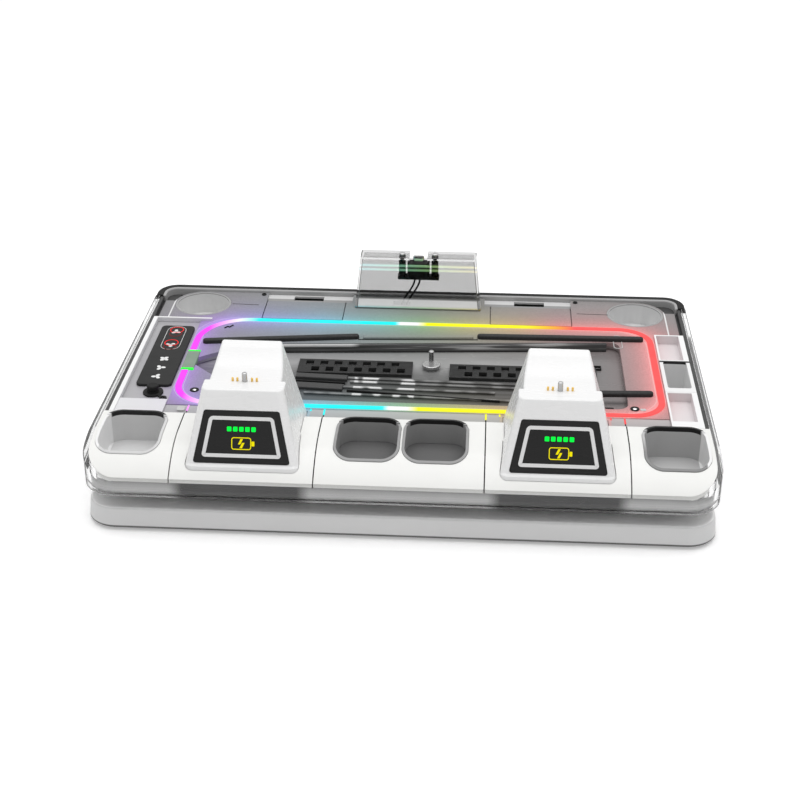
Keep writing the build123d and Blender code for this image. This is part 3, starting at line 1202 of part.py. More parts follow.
def board_pieces():
    low = FLOOR_TOP + BOARD_STANDOFF
    top = low + BOARD_THICKNESS
    y_range = (MAIN_BOARD_REAR - MAIN_BOARD_DEPTH, MAIN_BOARD_REAR)
    board = box((MAIN_BOARD_LEFT, MAIN_BOARD_RIGHT), y_range, (low, top))
    mouth = CASE_REAR - INLET_TONGUE
    mouth_plane = Plane(origin=(INLET_X, mouth, top + INLET_HEIGHT / 2), x_dir=(1, 0, 0), z_dir=(0, -1, 0))
    outer = SlotOverall(INLET_WIDTH, INLET_HEIGHT)
    inner = SlotOverall(INLET_WIDTH - 2 * INLET_WALL, INLET_HEIGHT - 2 * INLET_WALL)
    inlet = extrude(mouth_plane * outer, amount=INLET_LENGTH)
    inlet -= extrude(mouth_plane * inner, amount=INLET_LENGTH / 2)
    tongue = mouth_plane * Rectangle(INLET_WIDTH / 2, INLET_TONGUE)
    inlet += extrude(tongue, amount=INLET_LENGTH / 2 + INLET_WALL)
    return {"main_board": board, "power_inlet": inlet}


groups = [base_pieces, case_pieces, module_pieces, deck_pieces, bay_pieces, fan_pieces]
groups += [side_pieces, post_pieces, board_pieces]
pieces = {}
for group in groups:
    pieces.update(group())

os.makedirs("parts", exist_ok=True)
for node, shape in pieces.items():
    export_step(shape, "parts/" + node + ".step")
print(len(pieces), "pieces")
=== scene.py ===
import bpy
from math import atan2, cos, hypot, pi, radians
from mathutils import Matrix, Vector


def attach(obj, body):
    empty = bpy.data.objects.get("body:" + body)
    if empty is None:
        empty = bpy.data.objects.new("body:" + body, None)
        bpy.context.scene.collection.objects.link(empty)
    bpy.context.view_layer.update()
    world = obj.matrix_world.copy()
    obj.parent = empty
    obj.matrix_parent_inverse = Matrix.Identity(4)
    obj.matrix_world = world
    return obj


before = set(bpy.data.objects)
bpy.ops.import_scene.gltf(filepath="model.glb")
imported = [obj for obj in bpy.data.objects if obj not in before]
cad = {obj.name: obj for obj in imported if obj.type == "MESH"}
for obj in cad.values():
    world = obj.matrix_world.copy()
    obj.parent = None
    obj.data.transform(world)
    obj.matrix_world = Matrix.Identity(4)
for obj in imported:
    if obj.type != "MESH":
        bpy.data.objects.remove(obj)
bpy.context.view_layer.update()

STATION = "station"
MM = 0.001
SIDES = ((-1, "left"), (1, "right"))


def extent(name):
    """Lowest and highest corner of a piece of the frame, in millimetres."""
    piece = cad[name]
    points = [piece.matrix_world @ vertex.co / MM for vertex in piece.data.vertices]
    low = Vector([min(point[axis] for point in points) for axis in range(3)])
    high = Vector([max(point[axis] for point in points) for axis in range(3)])
    return low, high


# Sizes that the frame's boxes don't give, in millimetres and degrees
FACE_ANGLE = 69.4
LENS_THICKNESS = 1.0
LOOP_WIDTH = 4.2
LOOP_CORNER = 28.0
FLANGE_DEPTH = 14.8
PANEL_STEP = 2.5
NOSE_LENGTH = 42.0
NOSE_RADIUS = 58.6
NOSE_SWEEP = 44.0
SEAM = 0.8
LINER_WALL = 1.6
LINER_FLOOR = 2.0
BAY_SHOULDER = 38.0
BAY_SLANT = 19.0
RIM_CORNER = 15.0
CASE_WALL = 3.5
FRONT_CORNER = 22.0
TRAY_DEPTH = 3.5
POST_TOP_HALF = 43.0
POST_LEAN = 5.2
POST_EDGE = 2.0
NOTCH_HALF = 8.4

# Levels and places taken from the frame
loop_low, loop_high = extent("light_guide")
plate_low, plate_high = extent("touch_panel")
liner_low, liner_high = extent("bay_liner")
rim_low, rim_high = extent("rear_rim")
case_low, case_high = extent("clear_case")
post_low, post_high = extent("post_shell")
coupler_low, coupler_high = extent("light_coupler")
pocket_low, pocket_high = extent("grip_pocket_centre_right")
end_pocket_low, end_pocket_high = extent("grip_pocket_end_right")
pin_low, pin_high = extent("guide_pin_right")
slab_low, slab_high = extent("base_slab")
lens_low = extent("screen_lens_right")[0]
deck_high = extent("console_deck")[1]
tray_high = extent("control_tray")[1]
side_pocket_high = extent("side_pocket")[1]
centre_high = extent("centre_panel")[1]
DECK_TOP = deck_high.z
RIM_TOP = rim_high.z
PLATE_TOP = plate_high.z
PLATE_X = (plate_low.x + plate_high.x) / 2
DOCK_X = (pin_low.x + pin_high.x) / 2
FLANGE_TOP = RIM_TOP - PANEL_STEP
PANEL_REAR = centre_high.y - FLANGE_DEPTH
FLANGE_REAR = PANEL_REAR + FLANGE_DEPTH
INNER_SEAM = centre_high.x + SEAM / 2
OUTER_SEAM = 2 * DOCK_X - INNER_SEAM
NOSE_START = case_low.y + NOSE_LENGTH
BAY_FLOOR = liner_low.z + LINER_FLOOR
BAY_LEFT = liner_low.x + LINER_WALL
BAY_RIGHT = liner_high.x - LINER_WALL
BAY_FRONT = liner_low.y + LINER_WALL
BAY_REAR = liner_high.y - LINER_WALL
COUPLER_Y = (coupler_low.y + coupler_high.y) / 2
TRAY_FLOOR = tray_high.z - TRAY_DEPTH

# Where the tones change on the pieces, in millimetres from an edge or a level
DOCK_MARGIN = 9.0
POCKET_FLOOR_SHADE = 1.9
POCKET_WALL = 3.4
BROW_DEPTH = 5.4
BROW_HEIGHT = 1.6
LOOP_LINE = (2.7, 3.3)
DECK_EDGE_HIGHLIGHT = (183.4, 184.6)
TROUGH_STEP = 1.0
TROUGH_DEPTH = 14.0
TROUGH_HALF = 116.0
MIRROR_BANDS = ((6.6, 5.4), (9.6, 8.6))
POST_FOOT_LINE = (0.6, 1.6)
POST_FOOT_GLOW = (1.6, 7.6)
POST_FRONT = 7.2
BAY_PALE_END = (100.0, 128.0)
RIB_HIGHLIGHT_SPAN = (-38.0, 4.0)
RIB_LEVELS = (0.6, 1.3)
PALE_LIP = (-96.0, -41.0)
LIP_CREST = 1.2
LIP_FOOT = 1.0
TRAY_SKIM = 0.3
TRAY_HIGHLIGHT_DEPTH = 0.5
CUP_DEPTH = 16.0
CUP_CREST = 0.8
RIM_BLACK = 6.2
RIM_LINE = 0.6
SIDE_CREST = 1.7
SIDE_BROW_DEPTH = 2.2
SIDE_BROW_HEIGHT = 1.8
SLAB_TOP_LIGHT_DEPTH = 0.4
SLAB_FOOT_SHADOW = 1.8
FRONT_BAND = 30.0
COUPLER_END = 2.4
GLOW_BAND_DOCK = (6.0, 4.0)
GRAIN_HEIGHT = 0.004


# Small helpers for node trees


def add_node(near, kind, **settings):
    """A new node in the tree that another node or socket belongs to."""
    node = near.id_data.nodes.new(kind)
    for key, value in settings.items():
        setattr(node, key, value)
    return node


def join(source, target):
    source.id_data.links.new(source, target)


def feed(socket, value):
    """Gives a socket a number or colour of its own, or links another socket to it."""
    if isinstance(value, (int, float)):
        socket.default_value = value
    elif isinstance(value, tuple):
        socket.default_value = (*value, 1)
    else:
        join(value, socket)


def math_node(operation, first, second=None):
    """A Math node; each operand is a socket or a number."""
    near = second if isinstance(first, float) else first
    node = add_node(near, "ShaderNodeMath", operation=operation)
    feed(node.inputs[0], first)
    if second is not None:
        feed(node.inputs[1], second)
    return node.outputs[0]


def times(first, second):
    """The product of two masks or values."""
    return math_node("MULTIPLY", first, second)


def absolute(value):
    return math_node("ABSOLUTE", value)


def grey(value):
    return (value, value, value)


def ramp_node(source, stops):
    """A colour ramp with its stops as (position, colour)."""
    node = add_node(source, "ShaderNodeValToRGB")
    ends = node.color_ramp.elements
    for element, (place, colour) in zip(ends, (stops[0], stops[-1])):
        element.position = place
        element.color = (*colour, 1)
    for place, colour in stops[1:-1]:
        ends.new(place).color = (*colour, 1)
    join(source, node.inputs["Fac"])
    return node.outputs["Color"]


def grey_ramp(source, *stops):
    """A ramp of greys with its stops as (position, tone)."""
    return ramp_node(source, [(place, grey(tone)) for place, tone in stops])


def mix(factor, first, second, blend="MIX"):
    """A colour mix; a colour is a socket, a tuple or a number for a grey."""
    near = first if isinstance(factor, float) else factor
    node = add_node(near, "ShaderNodeMix", data_type="RGBA", blend_type=blend)
    feed(node.inputs[0], factor)
    for slot, value in ((6, first), (7, second)):
        feed(node.inputs[slot], grey(value) if isinstance(value, float) else value)
    return node.outputs[2]


def remap(source, low, high, out_low=0.0, out_high=1.0):
    """Maps a value from one range to another, and clamps it there."""
    node = add_node(source, "ShaderNodeMapRange")
    join(source, node.inputs["Value"])
    for name, value in (("From Min", low), ("From Max", high), ("To Min", out_low), ("To Max", out_high)):
        feed(node.inputs[name], value)
    return node.outputs["Result"]


def above(source, place, soft=0.2):
    """1 where a coordinate lies above a place in millimetres, 0 below it."""
    return remap(source, (place - soft / 2) * MM, (place + soft / 2) * MM)


def below(source, place, soft=0.2):
    """1 where a coordinate lies below a place in millimetres, 0 above it."""
    return math_node("SUBTRACT", 1.0, above(source, place, soft))


def between(source, low, high, soft=0.2):
    """1 where a coordinate lies between two places in millimetres."""
    inside = math_node("SUBTRACT", above(source, low, soft), above(source, high, soft))
    return math_node("MAXIMUM", inside, 0.0)


def noise_at(where, scale, detail, stretch=None, turn=0.0):
    """Noise over a coordinate, stretched and turned about Z where asked."""
    noise = add_node(where, "ShaderNodeTexNoise")
    feed(noise.inputs["Scale"], scale)
    feed(noise.inputs["Detail"], detail)
    if stretch:
        mapping = add_node(where, "ShaderNodeMapping")
        mapping.inputs["Scale"].default_value = stretch
        mapping.inputs["Rotation"].default_value = (0.0, 0.0, turn)
        join(where, mapping.inputs["Vector"])
        where = mapping.outputs["Vector"]
    join(where, noise.inputs["Vector"])
    return noise.outputs["Fac"]


def object_place(near):
    """Object coordinates, whole and split into X, Y and Z."""
    where = add_node(near, "ShaderNodeTexCoord").outputs["Object"]
    split = add_node(near, "ShaderNodeSeparateXYZ")
    join(where, split.inputs[0])
    return where, split.outputs


def object_axes(near):
    """Object coordinates split into X, Y and Z."""
    return object_place(near)[1]


# Shared effects as node groups


def new_group(name, inputs, outputs):
    """A node group with named sockets; returns the group, its input node and its output node."""
    group = bpy.data.node_groups.new(name, "ShaderNodeTree")
    for label, value in inputs:
        socket = group.interface.new_socket(name=label, in_out="INPUT", socket_type="NodeSocketFloat")
        socket.default_value = value
    for label, kind in outputs:
        group.interface.new_socket(name=label, in_out="OUTPUT", socket_type="NodeSocket" + kind)
    return group, group.nodes.new("NodeGroupInput"), group.nodes.new("NodeGroupOutput")


def place_group(near, group, **values):
    """Puts a node group in a tree with plain values on its sockets, and returns its outputs."""
    node = add_node(near, "ShaderNodeGroup", node_tree=group)
    for label, value in values.items():
        node.inputs[label.replace("_", " ")].default_value = value
    return node.outputs


def moulded_skin_group():
    """Moulded plastic: a fine spark-eroded grain, a slow mottle and faint rub marks."""
    inputs = [("Grain Scale", 1800.0), ("Mottle Scale", 40.0)]
    outputs = [("Grain", "Float"), ("Mottle", "Float"), ("Rub", "Float")]
    group, given, made = new_group("moulded skin", inputs, outputs)
    where = object_place(given)[0]
    join(noise_at(where, given.outputs["Grain Scale"], 2.0), made.inputs["Grain"])
    join(noise_at(where, given.outputs["Mottle Scale"], 4.0), made.inputs["Mottle"])
    rub = noise_at(where, 220.0, 6.0, (0.25, 1.0, 1.0))
    join(remap(rub, 0.45, 0.75), made.inputs["Rub"])
    return group


def edge_gap_group():
    """Distance to the outline of a rounded rectangle on plan, below zero inside it."""
    inputs = [(label, 0.0) for label in ("Middle X", "Middle Y", "Half X", "Half Y", "Corner")]
    group, given, made = new_group("edge gap", inputs, [("Gap", "Float")])
    split = object_axes(given)
    corner = given.outputs["Corner"]
    reach = []
    for axis in ("X", "Y"):
        off = math_node("SUBTRACT", split[axis], given.outputs["Middle " + axis])
        core = math_node("SUBTRACT", given.outputs["Half " + axis], corner)
        reach.append(math_node("SUBTRACT", absolute(off), core))
    outside = [math_node("POWER", math_node("MAXIMUM", value, 0.0), 2.0) for value in reach]
    far = math_node("SQRT", math_node("ADD", outside[0], outside[1]))
    inside = math_node("MINIMUM", math_node("MAXIMUM", reach[0], reach[1]), 0.0)
    from_core = math_node("ADD", far, inside)
    join(math_node("SUBTRACT", from_core, corner), made.inputs["Gap"])
    return group


SKIN = moulded_skin_group()
EDGE_GAP = edge_gap_group()


def edge_gap(near, low, high, corner):
    """The edge gap for a rectangle between two corners given in millimetres."""
    values = {"Corner": corner * MM}
    for axis in (0, 1):
        label = "XY"[axis]
        values["Middle_" + label] = (low[axis] + high[axis]) / 2 * MM
        values["Half_" + label] = (high[axis] - low[axis]) / 2 * MM
    return place_group(near, EDGE_GAP, **values)["Gap"]


# Colours of the light loop by their place on X, in millimetres
WHITE = (1.0, 0.97, 1.0)
CYAN = (0.0, 1.0, 1.0)
YELLOW = (1.0, 1.0, 0.0)
LAMP_COLOURS = (
    (-150, (1.0, 0.05, 1.0)),
    (-141, (1.0, 0.45, 1.0)),
    (-130, WHITE),
    (-116, CYAN),
    (-15, CYAN),
    (-11, WHITE),
    (1, WHITE),
    (8, YELLOW),
    (78, YELLOW),
    (98, (1.0, 0.5, 0.02)),
    (116, (1.0, 0.09, 0.09)),
)
# Colours of the light that the loop throws, painted onto the surfaces near it
THROWN_LIGHT_COLOURS = (
    (-150, (0.42, 0.24, 0.72)),
    (-120, (0.33, 0.33, 0.78)),
    (-70, (0.2, 0.5, 0.72)),
    (-25, (0.2, 0.52, 0.44)),
    (5, (0.26, 0.5, 0.22)),
    (35, (0.5, 0.48, 0.16)),
    (75, (0.66, 0.4, 0.18)),
    (105, (0.8, 0.26, 0.24)),
    (160, (0.92, 0.3, 0.3)),
)
NEAR_REACH = 4.0
WASH_REACH = 14.0


def light_loop_group():
    """The light loop on plan: its lamp colour, the colour of the light it throws, which is painted onto
    nearby surfaces, and how near a point lies to it.
    """
    outputs = [("Lamp", "Color"), ("Tint", "Color"), ("Gap", "Float"), ("Near", "Float"), ("Wash", "Float")]
    group, given, made = new_group("light loop", [], outputs)
    along = remap(object_axes(given)["X"], loop_low.x * MM, loop_high.x * MM)
    length = loop_high.x - loop_low.x
    for label, colours in (("Lamp", LAMP_COLOURS), ("Tint", THROWN_LIGHT_COLOURS)):
        stops = [((x - loop_low.x) / length, colour) for x, colour in colours]
        join(ramp_node(along, stops), made.inputs[label])
    inset = LOOP_WIDTH / 2
    low = (loop_low.x + inset, loop_low.y + inset)
    high = (loop_high.x - inset, loop_high.y - inset)
    gap = absolute(edge_gap(given, low, high, LOOP_CORNER - inset))
    join(gap, made.inputs["Gap"])
    for label, reach in (("Near", NEAR_REACH), ("Wash", WASH_REACH)):
        fall = math_node("DIVIDE", gap, -reach * MM)
        join(math_node("EXPONENT", fall), made.inputs[label])
    return group


LOOP = light_loop_group()


# Helpers for materials


def start_material(name, shine=0.5, **sockets):
    """A material with a Principled shader whose plain values are set on its own sockets."""
    material = bpy.data.materials.new(name)
    material.use_nodes = True
    shader = material.node_tree.nodes["Principled BSDF"]
    feed(shader.inputs["Specular IOR Level"], shine)
    for label, value in sockets.items():
        shader.inputs[label.replace("_", " ")].default_value = value
    return material, shader


def painted(material, colour):
    """Puts a colour on a material's shader, and returns the material."""
    join(colour, material.node_tree.nodes["Principled BSDF"].inputs["Base Color"])
    return material


def light_up(shader, colour):
    join(colour, shader.inputs["Emission Color"])


def skin_on(shader, rough, grain=1800.0, mottle=40.0, depth=0.1):
    """Puts the moulded skin on a shader's roughness and normal, and returns its outputs."""
    skin = place_group(shader, SKIN, Grain_Scale=grain, Mottle_Scale=mottle)
    join(remap(skin["Rub"], 0.0, 1.0, *rough), shader.inputs["Roughness"])
    bump = add_node(shader, "ShaderNodeBump")
    feed(bump.inputs["Strength"], depth)
    feed(bump.inputs["Distance"], GRAIN_HEIGHT * MM)
    join(skin["Grain"], bump.inputs["Height"])
    join(bump.outputs["Normal"], shader.inputs["Normal"])
    return skin


def mottled(skin, dark, light):
    """Two close tones, mixed by the mottle of a skin."""
    return mix(skin["Mottle"], dark, light)


def loop_wash(tone, share):
    """A tone with some of the light that the loop throws on it."""
    loop = place_group(tone, LOOP)
    return mix(times(loop["Wash"], share), tone, loop["Tint"])


def seen_ray(near):
    """1 for a ray that shows a surface: from the camera, mirrored, or through clear plastic."""
    path = add_node(near, "ShaderNodeLightPath")
    seen = math_node("MAXIMUM", path.outputs["Is Camera Ray"], path.outputs["Is Glossy Ray"])
    return math_node("MAXIMUM", seen, path.outputs["Is Transmission Ray"])


# Finishes


def moulded(name, dark, light, rough, shine=0.5, metal=0.0, depth=0.15, **scales):
    """A moulded plastic, rubber or metal in two close tones."""
    material, shader = start_material(name, shine, Metallic=metal)
    skin = skin_on(shader, rough, depth=depth, **scales)
    return painted(material, mottled(skin, dark, light))


def white_panel():
    """White front modules with a low flange behind painted greyer as shade, washed with the light loop's
    painted light beside the docks.
    """
    material, shader = start_material("white panel")
    skin = skin_on(shader, (0.28, 0.42))
    white = mottled(skin, (0.83, 0.83, 0.81), (0.86, 0.86, 0.84))
    x, y = object_axes(shader)[:2]
    loop = place_group(shader, LOOP)
    across = absolute(x)
    beside = between(across, INNER_SEAM + DOCK_MARGIN, OUTER_SEAM - DOCK_MARGIN, soft=1.0)
    wash = times(loop["Wash"], math_node("ADD", beside, 0.18))
    # The flange's grey is painted shade, darker towards the front, with the loop's light painted over it,
    # strongest beside the docks.
    rise = remap(y, PANEL_REAR * MM, FLANGE_REAR * MM)
    plain = mix(rise, 0.32, 0.44)
    flange_shade_and_glow = mix(times(wash, 0.7), plain, loop["Tint"])
    return painted(material, mix(above(y, PANEL_REAR), white, flange_shade_and_glow))


def smoke_pocket():
    """Smoke-grey pockets, dark in the centre and paler at the ends, with a black brow, a white wall, and
    painted shade on the centre floors and right end fronts.
    """
    material, shader = start_material("smoke pocket", shine=0.25)
    skin = skin_on(shader, (0.35, 0.5), grain=2600.0)
    x, y, z = object_axes(shader)
    across = absolute(x)
    wall = mottled(skin, 0.3, 0.34)
    # The centre pockets' floors are painted darker than their walls as shade.
    centre = mix(above(z, pocket_low.z + POCKET_FLOOR_SHADE), 0.15, wall)
    left = mottled(skin, 0.62, 0.68)
    # The right end pockets are painted darker at the front as shade.
    middle = (end_pocket_low.y + end_pocket_high.y) / 2
    right = mix(above(y, middle, soft=16.0), 0.25, 0.5)
    end = mix(above(x, 0.0), left, right)
    tone = mix(above(across, (pocket_high.x + end_pocket_low.x) / 2), centre, end)
    tone = mix(above(across, end_pocket_high.x - POCKET_WALL), tone, 0.88)
    behind = above(y, pocket_high.y - BROW_DEPTH, soft=0.6)
    brow = times(behind, above(z, RIM_TOP - BROW_HEIGHT))
    return painted(material, mix(brow, tone, 0.012))


def frosted_deck():
    """Frosted deck plate: a sparkling grain, the loop's light painted in as a tint and a glow spreading
    through it, a pale line beside the loop, and painted highlights on its side edges.
    """
    material, shader = start_material("frosted deck", shine=0.2, Emission_Strength=0.25)
    skin = skin_on(shader, (0.5, 0.65), grain=2200.0, mottle=18.0, depth=0.2)
    x, y, z = object_axes(shader)
    loop = place_group(shader, LOOP)
    plain = mottled(skin, 0.22, 0.28)
    # The loop's light is painted into the base colour, fading away from the loop.
    loop_lit = mix(times(loop["Wash"], 0.85), plain, loop["Tint"])
    sparkle = remap(skin["Grain"], 0.3, 0.7, 0.78, 1.2)
    colour = mix(1.0, loop_lit, sparkle, "MULTIPLY")
    line = between(loop["Gap"], *LOOP_LINE)
    colour = mix(times(line, 0.3), colour, 0.8)
    across = absolute(x)
    # A painted highlight along the deck's side edges.
    edge = between(across, *DECK_EDGE_HIGHLIGHT)
    colour = mix(times(edge, 0.8), colour, 0.85)
    sunk = below(z, DECK_TOP - TROUGH_STEP)
    trough = times(sunk, above(y, deck_high.y - TROUGH_DEPTH))
    trough = times(trough, below(across, TROUGH_HALF))
    rear_half = above(y, deck_high.y - TROUGH_DEPTH / 2)
    step = mix(rear_half, 0.3, 0.62)
    # A painted glow of the loop's light near it.
    light_up(shader, mix(loop["Near"], 0.0, loop["Tint"]))
    return painted(material, mix(trough, colour, step))


def lamp_strip():
    """The lit loop itself, in its lamp colours."""
    material, shader = start_material("lamp strip", shine=0.05, Roughness=0.4, Emission_Strength=1.0)
    loop = place_group(shader, LOOP)
    skin = place_group(shader, SKIN, Mottle_Scale=120.0)
    dim = mix(1.0, loop["Lamp"], 0.08, "MULTIPLY")
    light_up(shader, loop["Lamp"])
    return painted(material, mottled(skin, dim, 0.04))


def clear_acrylic(name, tint, rim, index):
    """Polished clear plastic with faint flow marks, greyer where it is seen edge on."""
    sheen = (*grey(0.3), 1)
    material, shader = start_material(name, Transmission_Weight=1.0, IOR=index, Specular_Tint=sheen)
    skin = place_group(shader, SKIN, Mottle_Scale=12.0)
    flow = mottled(skin, tint * 0.97, tint)
    seen = add_node(shader, "ShaderNodeLayerWeight")
    feed(seen.inputs["Blend"], 0.25)
    edge = remap(seen.outputs["Facing"], 0.35, 0.9)
    join(remap(skin["Rub"], 0.0, 1.0, 0.01, 0.05), shader.inputs["Roughness"])
    return painted(material, mix(edge, flow, rim)), shader


def clear_post():
    """Clear post with the loop's colours mirrored in thin bands over its front, and a lit foot."""
    material, shader = clear_acrylic("clear post", 0.64, 0.2, 1.2)
    y, z = object_axes(shader)[1:]
    spans = [(post_high.z - low, post_high.z - high) for low, high in MIRROR_BANDS]
    spans.append([DECK_TOP + rise for rise in POST_FOOT_LINE])
    bands, *others = [between(z, *span, soft=0.8) for span in spans]
    for band in others:
        bands = math_node("ADD", bands, band)
    front = below(y, post_low.y + POST_FRONT)
    loop = place_group(shader, LOOP)
    show = mix(times(bands, front), 0.0, loop["Tint"])
    low, high = [DECK_TOP + rise for rise in POST_FOOT_GLOW]
    foot = times(between(z, low, high, soft=0.6), front)
    light_up(shader, mix(foot, show, 0.5))
    feed(shader.inputs["Emission Strength"], 0.5)
    return material


def smoky_bay():
    """Smoky floor of the bay: paler with soft arcs at the rear, dark streaks in front, and glassy ribs with
    painted highlights on some of them.
    """
    material, shader = start_material("smoky bay", shine=0.2)
    skin = skin_on(shader, (0.2, 0.35), grain=1500.0)
    where, (x, y, z) = object_place(shader)
    back = remap(y, BAY_FRONT * MM, BAY_REAR * MM)
    floor = grey_ramp(back, (0.0, 0.07), (0.3, 0.065), (0.52, 0.15), (0.66, 0.34), (1.0, 0.28))
    right = remap(x, *[end * MM for end in BAY_PALE_END])
    floor = mix(right, floor, 0.19)
    swirl = noise_at(where, 1.0, 3.0, (9.0, 34.0, 34.0), 0.05)
    floor = mix(remap(swirl, 0.52, 0.66, 0.0, 0.35), floor, 0.2)
    streak = noise_at(where, 1.0, 4.0, (4.0, 160.0, 160.0), 0.04)
    front = math_node("SUBTRACT", 1.0, remap(back, 0.42, 0.5))
    lines = times(remap(streak, 0.56, 0.66), times(front, 0.6))
    floor = mix(lines, floor, 0.012)
    foot, top = [BAY_FLOOR + rise for rise in RIB_LEVELS]
    rib = times(above(z, foot), below(z, top))
    pieces = noise_at(where, 1.0, 0.0, (95.0, 40.0, 1.0))
    broken = remap(pieces, 0.46, 0.52)
    # Broken painted highlights on the ribs in the middle of the bay.
    bright = times(broken, between(x, *RIB_HIGHLIGHT_SPAN, soft=1.0))
    dull = mix(remap(pieces, 0.4, 0.6), 0.06, 0.2)
    tone = mix(rib, floor, mix(bright, dull, 0.72))
    tone = loop_wash(tone, 0.3)
    return painted(material, mix(times(skin["Mottle"], 0.1), tone, 0.2))


def smoky_lip():
    """Rolled glassy lip along the bay's rear: pale at the left, dark with long highlights elsewhere."""
    material, shader = start_material("smoky lip", shine=0.3)
    skin_on(shader, (0.1, 0.2))
    where, (x, _, z) = object_place(shader)
    flow = noise_at(where, 1.0, 2.0, (12.0, 12.0, 420.0))
    dark = grey_ramp(flow, (0.35, 0.03), (0.5, 0.085), (0.6, 0.11), (0.68, 0.5))
    crest = above(z, DECK_TOP - LIP_CREST, soft=0.8)
    pale = times(crest, between(x, *PALE_LIP, soft=6.0))
    tone = mix(pale, dark, 0.62)
    foot = below(z, BAY_FLOOR + LIP_FOOT, soft=0.6)
    return painted(material, mix(foot, tone, 0.02))


def white_tray():
    """White trays: a greyer floor on the left, the loop's light painted on as a tint on the right, and top
    edges painted whiter as a highlight.
    """
    material, shader = start_material("white tray")
    skin = skin_on(shader, (0.3, 0.45))
    x, _, z = object_axes(shader)
    white = mottled(skin, (0.7, 0.7, 0.71), (0.75, 0.75, 0.76))
    left = below(x, 0.0)
    left_floor = times(left, below(z, TRAY_FLOOR + TRAY_SKIM))
    # The loop's light is painted on as a tint.
    tone = loop_wash(mix(left_floor, white, 0.4), 0.3)
    # The top edges are painted whiter as a highlight.
    crest = above(z, RIM_TOP - TRAY_HIGHLIGHT_DEPTH)
    return painted(material, mix(crest, tone, 0.88))


def frosted_cup():
    """Frosted cup with faint upright bands in its wall and a greyer crest."""
    material, shader = start_material("frosted cup", shine=0.2)
    skin = skin_on(shader, (0.4, 0.55), grain=2200.0)
    where, (_, _, z) = object_place(shader)
    bands = noise_at(where, 1.0, 1.0, (160.0, 8.0, 1.0))
    tone = mix(remap(bands, 0.35, 0.65), 0.68, 0.8)
    rise = remap(z, (DECK_TOP - CUP_DEPTH) * MM, DECK_TOP * MM)
    tone = mix(rise, tone, 0.66)
    tone = mix(above(z, DECK_TOP - CUP_CREST), tone, 0.34)
    return painted(material, mix(times(skin["Grain"], 0.2), tone, 0.5))


def black_rim():
    """Gloss black rim, grey on its inner part, with a thin highlight where the two meet."""
    material, shader = start_material("gloss black rim", shine=0.06)
    skin = skin_on(shader, (0.2, 0.3))
    z = object_axes(shader)["Z"]
    gap = edge_gap(shader, case_low, case_high, RIM_CORNER)
    line = between(gap, -RIM_BLACK, -RIM_BLACK + RIM_LINE, soft=0.3)
    line = times(line, above(z, RIM_TOP - RIM_LINE))
    black = mottled(skin, 0.004, 0.008)
    black = mix(line, black, 0.42)
    return painted(material, mix(below(gap, -RIM_BLACK), black, 0.4))


def side_pocket_grey():
    """Grey side pocket with a paler crest and a black rear edge."""
    material, shader = start_material("grey side pocket", shine=0.25)
    skin = skin_on(shader, (0.35, 0.5))
    y, z = object_axes(shader)[1:]
    tone = mottled(skin, 0.7, 0.78)
    crest = above(z, side_pocket_high.z - SIDE_CREST)
    tone = mix(crest, tone, 0.84)
    rear = above(y, side_pocket_high.y - SIDE_BROW_DEPTH)
    brow = times(rear, above(z, side_pocket_high.z - SIDE_BROW_HEIGHT))
    return painted(material, mix(brow, tone, 0.012))


def slab_grey():
    """Grey slab: a top face painted paler as light, and a painted shadow line along its foot."""
    material, shader = start_material("slab grey")
    skin = skin_on(shader, (0.45, 0.6), mottle=25.0, depth=0.2)
    z = object_axes(shader)["Z"]
    tone = mottled(skin, 0.68, 0.73)
    # The top face is painted paler as light falling on it.
    tone = mix(above(z, slab_high.z - SLAB_TOP_LIGHT_DEPTH), tone, 0.93)
    # The dark line along the foot is a painted contact shadow.
    body = above(z, slab_low.z + SLAB_FOOT_SHADOW, soft=0.6)
    return painted(material, mix(body, 0.1, tone))


def chassis_grey():
    """Dark chassis, pale along its front where the light comes in through the clear wall."""
    material, shader = start_material("chassis grey", shine=0.2)
    skin = skin_on(shader, (0.45, 0.6))
    y = object_axes(shader)["Y"]
    dark = mottled(skin, 0.05, 0.065)
    behind = above(y, case_low.y + FRONT_BAND, soft=6.0)
    return painted(material, mix(behind, 0.7, dark))


def glow_band_grey(foot, height):
    """Light grey band that glows as painted light, dark behind the docks, and with painted shade along its
    foot.
    """
    material, shader = start_material("glow band grey", shine=0.2, Emission_Strength=0.2)
    skin = skin_on(shader, (0.4, 0.55))
    x, _, z = object_axes(shader)
    rise = remap(z, foot * MM, (foot + height) * MM)
    pale = grey_ramp(rise, (0.0, 0.1), (0.1, 0.3), (0.55, 0.48), (1.0, 0.3))
    across = absolute(x)
    dock = between(across, INNER_SEAM + GLOW_BAND_DOCK[0], OUTER_SEAM - GLOW_BAND_DOCK[1], soft=8.0)
    tone = mix(dock, pale, 0.08)
    # Painted light: the band glows in its own tone.
    light_up(shader, tone)
    return painted(material, mix(times(skin["Mottle"], 0.1), tone, 0.3))


def lit_plastic(name, colour, strength):
    """A printed or lit mark: its colour with a slight unevenness, and a glow of its own."""
    material, shader = start_material(name, shine=0.1, Roughness=0.5, Emission_Strength=strength)
    skin = place_group(shader, SKIN, Mottle_Scale=300.0)
    tone = mottled(skin, tuple(value * 0.82 for value in colour), colour)
    light_up(shader, tone)
    return painted(material, tone)


